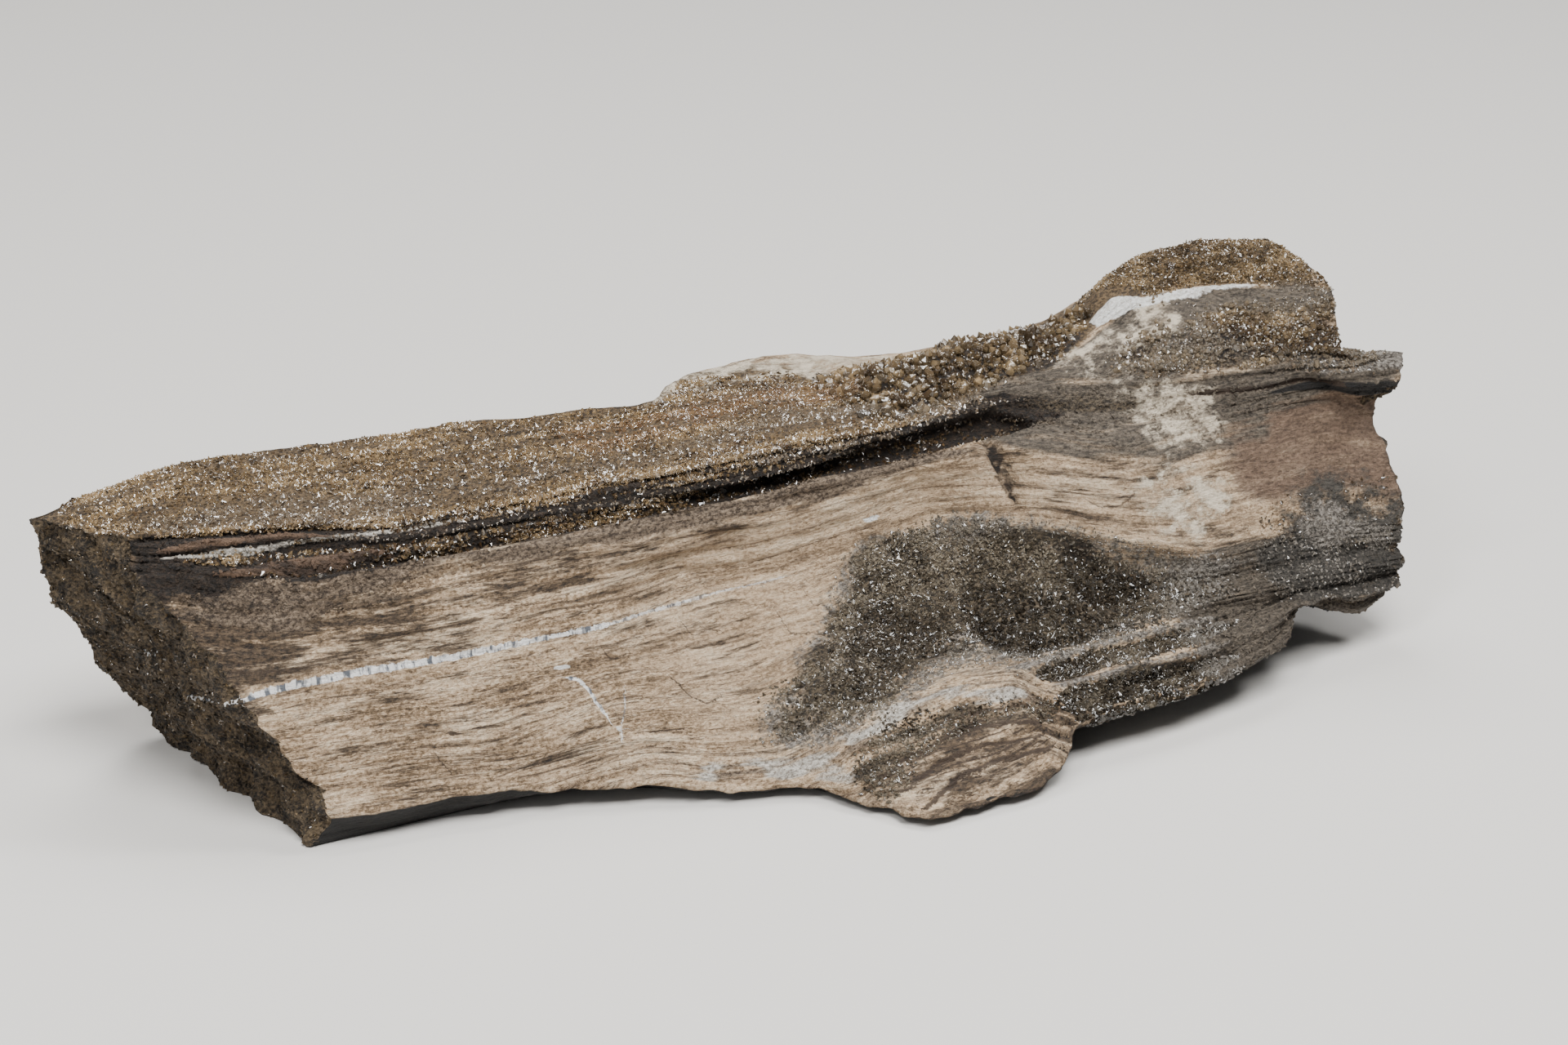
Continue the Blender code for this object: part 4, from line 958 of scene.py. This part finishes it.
# Natural quartz crystals with clean growth faces: clear stone with a little colour, see-through where thin.
# The coat stands for the light that comes back from inside the crystals, so that a few flat faces flash.
quartzLooks = {
    "brownQuartz": {"dark": "#1d1409", "light": "#c6aa80", "grey": "#8a8071", "red": "#8a6a4c",
                    "roughness": 0.1, "coat": 0.25},
    "goldenQuartz": {"dark": "#1f150a", "light": "#c9ab7e", "grey": "#857a6b", "red": "#96704f",
                     "roughness": 0.08, "coat": 0.8},
    "smokyQuartz": {"dark": "#100a04", "light": "#a89b86", "grey": "#98928a", "red": "#4b3823",
                    "roughness": 0.12, "coat": 0.12},
}
quartzFinish = {"IOR": 1.544, "Transmission Weight": 0.45, "Coat Roughness": 0.05, "Coat IOR": 1.8}
growthSteps = {"toMillimetre": 6.0, "depth": 0.03}     # faint steps on the faces, in mm
quartz = {}
for name, look in quartzLooks.items():
    material, tree, shader = newMaterial(name)
    stored = addNode(tree, "Attribute", attribute_name="crystal")
    parts = addNode(tree, "SeparateColor", {0: stored}).node.outputs
    colour = look["dark"]
    for part, other in zip(parts, ("light", "grey", "red")):
        colour = addNode(tree, "Mix", {0: part, 6: colour, 7: look[other]}, **inColour)
    growth = addNode(tree, "TexNoise", {"Vector": millimetres(tree), "Scale": growthSteps["toMillimetre"],
                                        "Detail": 1.0})
    bump = addNode(tree, "Bump", {"Strength": 1.0, "Distance": growthSteps["depth"] * mm, "Height": growth})
    feed(tree, shader, {**quartzFinish, "Base Color": colour, "Roughness": look["roughness"],
                        "Coat Weight": look["coat"], "Normal": bump, "Coat Normal": bump})
    quartz[name] = material


def groundOf(grid, outward):
    # for each cell of a grid closed round its rows: the middle, the normal, the two sides and the area
    beside = np.roll(grid, -1, 1)
    along, around = grid[1:] - grid[:-1], (beside - grid)[:-1]
    turned = outward * np.cross(around, along)
    area = np.linalg.norm(turned, axis=2)
    normal = turned / np.maximum(area, 1e-9)[..., None]
    middle = (grid[:-1] + grid[1:] + beside[:-1] + beside[1:]) / 4
    return {"middle": middle, "normal": normal, "along": along, "around": around, "area": area}


rowNoise = {"squeeze": (0.14, 1, 1), "size": 1.1, "seed": 61}      # crystals stand in rows along the grain
grounds = {"skin": groundOf(skin, 1), "left": groundOf(np.array([skin[0], *capRings["left"]]), -1),
           "right": groundOf(np.array([skin[-1], *capRings["right"]]), 1)}
for ground in grounds.values():
    ground["rows"] = latticeNoise(ground["middle"] * rowNoise["squeeze"], rowNoise["size"], rowNoise["seed"])
cellX = grounds["skin"]["middle"][..., 0]
cellAcross = np.broadcast_to((across + np.append(across[1:], acrossAt[-1])) / 2, cellX.shape)

six = np.arange(6)
nextOfSix = (six + 1) % 6
crystalShape = {"uneven": (0.82, 1.12), "taper": 0.97, "tipLean": 0.15}      # shares of the radius
crystalTint = {
    # how light each level of a crystal is: foot, shoulder where there is a prism, tip; the dark foot is
    # painted shade between the crystals, and the tip is lighter
    "levels": {True: (0.35, 0.8, 1.3), False: (0.35, 1.3)},
    "clouds": [(0.5, 3.2, 1), (0.6, 1.0, 2)],      # share, size in mm, what is added to the seed
    "redOfPink": 0.7,
    "redByChance": 0.6,
}
noAcross = -9.0         # across, where no band lies
leastHeight = 0.05      # mm that crystals stay above the floor


def shared(bandParts, x, across):
    # the sum of several bands' covers, each times its own share
    return sum(share * bandCover(name, soft, x, across) for name, share, soft in bandParts)


def pickCells(part, chance):
    # cells drawn by their area, how far their bands cover them and the rows, less what fewer takes away
    ground = grounds[part.get("on", "skin")]
    weight = ground["area"]
    if "where" in part:
        weight = weight * shared(part["where"], cellX, cellAcross)
    weight = weight * (1 - part["rows"] * (1 - np.clip(0.5 + ground["rows"], 0, 1)))
    for fewer in part.get("fewer", []):
        weight = weight * (1 - shared([fewer], cellX, cellAcross))
    cells = chance.choice(weight.size, part["number"], p=weight.ravel() / weight.sum())
    return np.divmod(cells, weight.shape[1])


def crystalSolids(part, foot, normal, chance):
    # a ring at the foot, one under the tip where there is a prism, and a tip, round an axis near the normal
    number = len(foot)
    axis = normal + part["lean"] * chance.normal(0, 1, (number, 3))
    axis /= np.linalg.norm(axis, axis=1, keepdims=True)
    sideways = np.cross(axis, chance.normal(0, 1, (number, 3)))
    sideways /= np.linalg.norm(sideways, axis=1, keepdims=True)
    forwards = np.cross(axis, sideways)
    size = np.exp(chance.uniform(*np.log(part["radius"]), number))[:, None]
    tall = size * chance.uniform(*part["tall"], number)[:, None]
    turn = (six * np.pi / 3)[None, :, None]
    ring = np.cos(turn) * sideways[:, None] + np.sin(turn) * forwards[:, None]
    ring = ring * chance.uniform(*crystalShape["uneven"], (number, 6, 1)) * size[:, None]
    sunk = foot - axis * size * part["sink"]
    levels = [sunk[:, None] + ring]
    if part["prism"]:
        levels.append(foot[:, None] + (axis * tall * part["prism"])[:, None] + ring * crystalShape["taper"])
    tip = foot + axis * tall + ring[:, 0] * crystalShape["tipLean"]
    return np.concatenate([*levels, tip[:, None]], axis=1)


def crystalFaces(hasPrism, base):
    # the foot, the six sides of the prism where there is one, and the tip's six faces, from each first point
    top = 6 if hasPrism else 0
    parts = [six[::-1][None]]
    if hasPrism:
        parts.append(np.stack([six, nextOfSix, nextOfSix + 6, six + 6], axis=-1))
    parts.append(np.stack([six + top, nextOfSix + top, np.full(6, top + 6)], axis=-1))
    return [(base[:, None, None] + part[None]).reshape(-1, part.shape[1]) for part in parts]


def crystalTones(part, foot, rows, where, chance, seed):
    # how light, grey and red each crystal is: by chance, by clouds, by its row and by the stone under it
    number, cloud = len(foot), 0.5
    for share, size, more in crystalTint["clouds"]:
        cloud = cloud + share * latticeNoise(foot, size, seed + more)
    shade = part["bright"] * 0.5 * (chance.beta(*part["shade"], number) + np.clip(cloud, 0, 1))
    shade = shade * (1 + part["rows"] * rows)
    for darker in part.get("darker", []):
        shade = shade * (1 - shared([darker], *where))
    seen = ("grey", "frost", "smoky", "pink")
    grey, frost, smoky, pink = (strongest(stones[kind], *where) for kind in seen)
    grey = np.maximum.reduce([grey, bandCover("topGrey", 1.0, *where), frost - smoky])
    red = crystalTint["redOfPink"] * pink + crystalTint["redByChance"] * chance.beta(1, 3, number)
    return np.stack([shade, grey * part["greys"], red * part["reds"], np.ones(number)], axis=-1)


def growCrystals(parts, seed):
    # six-sided crystals on the skin or on a broken end: faces, points, tones and each point's pattern place
    chance = np.random.default_rng(seed)
    grown = {"points": [], "faces": [], "tones": [], "places": []}
    start = 0
    for part in parts:
        ground, number = grounds[part.get("on", "skin")], part["number"]
        cell = pickCells(part, chance)
        spread = chance.uniform(-0.5, 0.5, (2, number, 1))
        foot = ground["middle"][cell] + ground["along"][cell] * spread[0] + ground["around"][cell] * spread[1]
        solids = crystalSolids(part, foot, ground["normal"][cell], chance)
        each = solids.shape[1]
        onSkin = "where" in part
        where = (foot[:, 0], cellAcross[cell] if onSkin else np.full(number, noAcross))
        tones = crystalTones(part, foot, ground["rows"][cell], where, chance, seed)
        tones = np.repeat(tones, each, axis=0)
        levels = crystalTint["levels"][part["prism"] > 0]
        levels = np.append(np.repeat(levels[:-1], 6), levels[-1])
        tones[:, 0] = np.minimum(tones[:, 0] * np.tile(levels, number), 1)
        places = np.stack([*where, np.full(number, not onSkin)], axis=-1)
        grown["points"].append(solids.reshape(-1, 3))
        grown["faces"].extend(crystalFaces(part["prism"] > 0, start + np.arange(number) * each))
        grown["tones"].append(tones)
        grown["places"].append(np.repeat(places, each, axis=0))
        start += number * each
    return [grown["faces"], *(np.concatenate(grown[key]) for key in ("points", "tones", "places"))]


def crystalPiece(name, faces, points):
    # one flat-faced solid of many crystals, kept above the underside
    points[:, 2] = np.maximum(points[:, 2], leastHeight)
    piece = fillMesh(name, points, faces, smooth=False)
    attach(piece, "root")
    print(name, sum(len(part) * (part.shape[1] - 2) for part in faces), "triangles")
    return piece


# A part of a crust: its number of crystals, the bands they grow on with share and softness, radii in mm,
# height for each mm of radius, share of prism, depth sunk, lean, and how light, grey and red they are; rows
# is how much they keep to rows along the grain.
fine = {"radius": (0.15, 0.31), "tall": (0.8, 1.5), "prism": 0, "sink": 0.5, "lean": 0.5,
        "shade": (0.6, 0.9), "greys": 0.7, "reds": 0.7, "bright": 1.0, "rows": 0.35}
coarse = {"tall": (1.2, 2.6), "prism": 0.5, "sink": 0.8, "lean": 0.55,
          "shade": (0.8, 1.4), "greys": 0.5, "reds": 0.4}
crusts = {
    "top_druse": ("goldenQuartz", "golden_quartz", 51, [
        {**fine, "number": 15600, "bright": 1.2, "radius": (0.14, 0.33), "where": [("druse", 1.0, 0.5)],
         "fewer": [("topGrey", 0.3, 1.5)], "darker": [("topGrey", 0.2, 1.5)], "rows": 0.8},
        {**fine, "number": 2600, "where": [("lipRow", 1.0, 0.3)], "radius": (0.18, 0.36), "bright": 1.35}]),
    # the ridge's crystals, those in the groove most, are drawn darker, partly as painted shade under the lip
    "ridge_crystals": ("goldenQuartz", "golden_quartz", 52, [
        {**fine, "number": 1100, "where": [("goldRow", 1.0, 0.12)], "radius": (0.2, 0.42), "bright": 0.75,
         "rows": 0.8},
        {**fine, "number": 1100, "where": [("goldUpper", 1.0, 0.12)], "radius": (0.16, 0.38), "bright": 0.85,
         "rows": 0.8},
        {**fine, "number": 700, "radius": (0.12, 0.26), "bright": 1.3, "greys": 1.0,
         "where": [("whiteThin", 1.0, 0.12), ("greyThin", 1.0, 0.2), ("whiteStrip", 0.4, 0.1)]},
        {**fine, "number": 1500, "where": [("groove", 1.0, 0.3)], "radius": (0.15, 0.36), "bright": 0.5,
         "shade": (0.4, 1.8), "rows": 0.8},
        {**fine, "number": 900, "on": "left", "radius": (0.12, 0.24), "bright": 0.8}]),
    "shoulder_crystals": ("brownQuartz", "golden_quartz", 53, [
        {**fine, "number": 5200, "where": [("shoulder", 1.0, 0.9)], "radius": (0.16, 0.38), "bright": 0.58,
         "rows": 0.6},
        {**coarse, "number": 900, "where": [("shoulder", 1.0, 0.7)], "radius": (0.3, 0.62), "bright": 0.7,
         "rows": 0.7}]),
    "knob_cap_crystals": ("brownQuartz", "golden_quartz", 54, [
        {**fine, "number": 6600, "where": [("cap", 1.0, 0.6)], "radius": (0.13, 0.3), "rows": 0.6},
        {**fine, "number": 300, "where": [("cap", 1.0, 0.5)], "radius": (0.28, 0.42), "bright": 0.9}]),
    "knob_row_crystals": ("brownQuartz", "golden_quartz", 55, [
        {**fine, "number": 5600, "where": [("knobRows", 1.0, 1.6)], "radius": (0.14, 0.32), "bright": 0.55,
         "rows": 0.85, "fewer": [("knobWhite", 1.0, 0.3), ("creamKnob", 0.9, 0.5)],
         "darker": [("knobDark", 0.45, 1.0)]},
        {**coarse, "number": 300, "where": [("knobRows", 1.0, 1.0)], "radius": (0.24, 0.4), "bright": 0.75,
         "rows": 1.0, "fewer": [("knobWhite", 1.0, 0.6)]}]),
    "hollow_crystals": ("smokyQuartz", "smoky_quartz", 56, [
        {**fine, "number": 11300, "where": [("hollow", 1.0, 1.8)], "radius": (0.14, 0.34), "bright": 1.1,
         "rows": 0.5, "reds": 0.6,
         # darker over the pits, partly as painted shade in them
         "darker": [("deepRight", 0.4, 1.6), ("deepLeft", 0.3, 1.6), ("pitLeft", 0.5, 0.8),
                    ("pitMiddle", 0.6, 0.8), ("pitRight", 0.6, 0.8), ("pitLow", 0.6, 0.5),
                    ("hollowTop", -0.6, 1.5)]},
        {**fine, "number": 1300, "where": [("hollowRim", 1.0, 1.2)], "fewer": [("hollow", 1.0, 0.6)],
         "radius": (0.12, 0.24), "tall": (0.5, 1.0), "shade": (4, 2), "bright": 1.2},
        {**fine, "number": 3600, "where": [("rowA", 1.0, 0.3), ("rowB", 1.0, 0.3), ("rowC", 1.0, 0.3)],
         "radius": (0.2, 0.42), "bright": 0.6, "reds": 0.5},
        {**fine, "number": 1200, "where": [("bulgeDark", 1.0, 0.6)], "radius": (0.14, 0.28)},
        {**fine, "number": 900, "where": [("blueGrey", 1.0, 2.0)], "radius": (0.12, 0.28), "bright": 0.9,
         "rows": 0.8}]),
}
for name, (look, slot, seed, parts) in crusts.items():
    faces, points, tones, places = growCrystals(parts, seed)
    piece = crystalPiece(name + "_quartz", faces, points)
    setColours(piece, "crystal", tones)
    piece.data.materials.append(quartz[look])
    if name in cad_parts:
        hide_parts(name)

# Grains of the wood's own stone, where it is sugary or broken: low, and coloured as the skin is there.
grainOf = {"radius": (0.14, 0.34), "tall": (0.5, 1.1), "prism": 0, "sink": 0.3, "lean": 0.6, "shade": (2, 2),
           "greys": 0, "reds": 0, "bright": 1.0, "rows": 0}
faces, points, tones, places = growCrystals([
    {**grainOf, "number": 4000, "where": [("sugary", 1.0, 1.5), ("ridge", 1.0, 0.4)],
     "fewer": [("groove", 1.0, 0.2)]},
    {**grainOf, "number": 3800,
     "where": [("rightGrey", 1.0, 1.5), ("blueGrey", 1.0, 1.5), ("shoulderGrey", 0.6, 1.0)]},
    {**grainOf, "number": 4200, "on": "left", "radius": (0.16, 0.45)},
    {**grainOf, "number": 2200, "on": "right", "radius": (0.16, 0.45)}], 57)
grainPiece = crystalPiece("wood_grains", faces, points)
onEnd = places[:, 2]
grainKinds = {kind: strongest(parts, *places[:, :2].T) * (1 - onEnd) for kind, parts in stones.items()}
grainKinds["fracture"] = onEnd
setStones(grainPiece, grainKinds, {name: np.tile(noLine, (len(points), 1)) for name in fields})
setPattern(grainPiece, places[np.concatenate([part.ravel() for part in faces]), :2])
grainPiece.data.materials.append(woodPiece.data.materials[0])

# A plain pale floor and soft studio light.
bpy.ops.mesh.primitive_plane_add(size=6)
floor = bpy.context.object
floor.name = "floor"
material, tree, shader = newMaterial("matteFloor")
feed(tree, shader, {"Base Color": "#cfccc7", "Roughness": 0.9})
floor.data.materials.append(material)

lights = {
    "key": {"from": (-0.04, -0.30, 0.68), "size": 0.32, "watts": 8.2},
    "glint": {"from": (-0.38, -0.22, 0.52), "size": 0.12, "watts": 1.8},
    "glintRight": {"from": (0.45, -0.12, 0.52), "size": 0.12, "watts": 1.8},
    "fill": {"from": (-0.70, -0.40, 0.40), "size": 0.60, "watts": 1.2},
    "top": {"from": (0.05, 0.35, 0.70), "size": 0.40, "watts": 4.0},
}
lightsLookAt = (0.0, 0.0, 0.02)
for name, light in lights.items():
    lamp = bpy.data.lights.new(name, "AREA")
    lamp.size = light["size"]
    lamp.energy = light["watts"]
    made = bpy.data.objects.new(name, lamp)
    made.location = light["from"]
    away = np.array(light["from"]) - lightsLookAt
    tilt = math.atan2(math.hypot(away[0], away[1]), away[2])
    made.rotation_euler = (tilt, 0, math.atan2(away[0], -away[1]))
    bpy.context.scene.collection.objects.link(made)
world = bpy.data.worlds.new("studio")
world.use_nodes = True
feed(world.node_tree, world.node_tree.nodes["Background"], {"Color": "#dfe3e8", "Strength": 0.12})
bpy.context.scene.world = world

print("built")
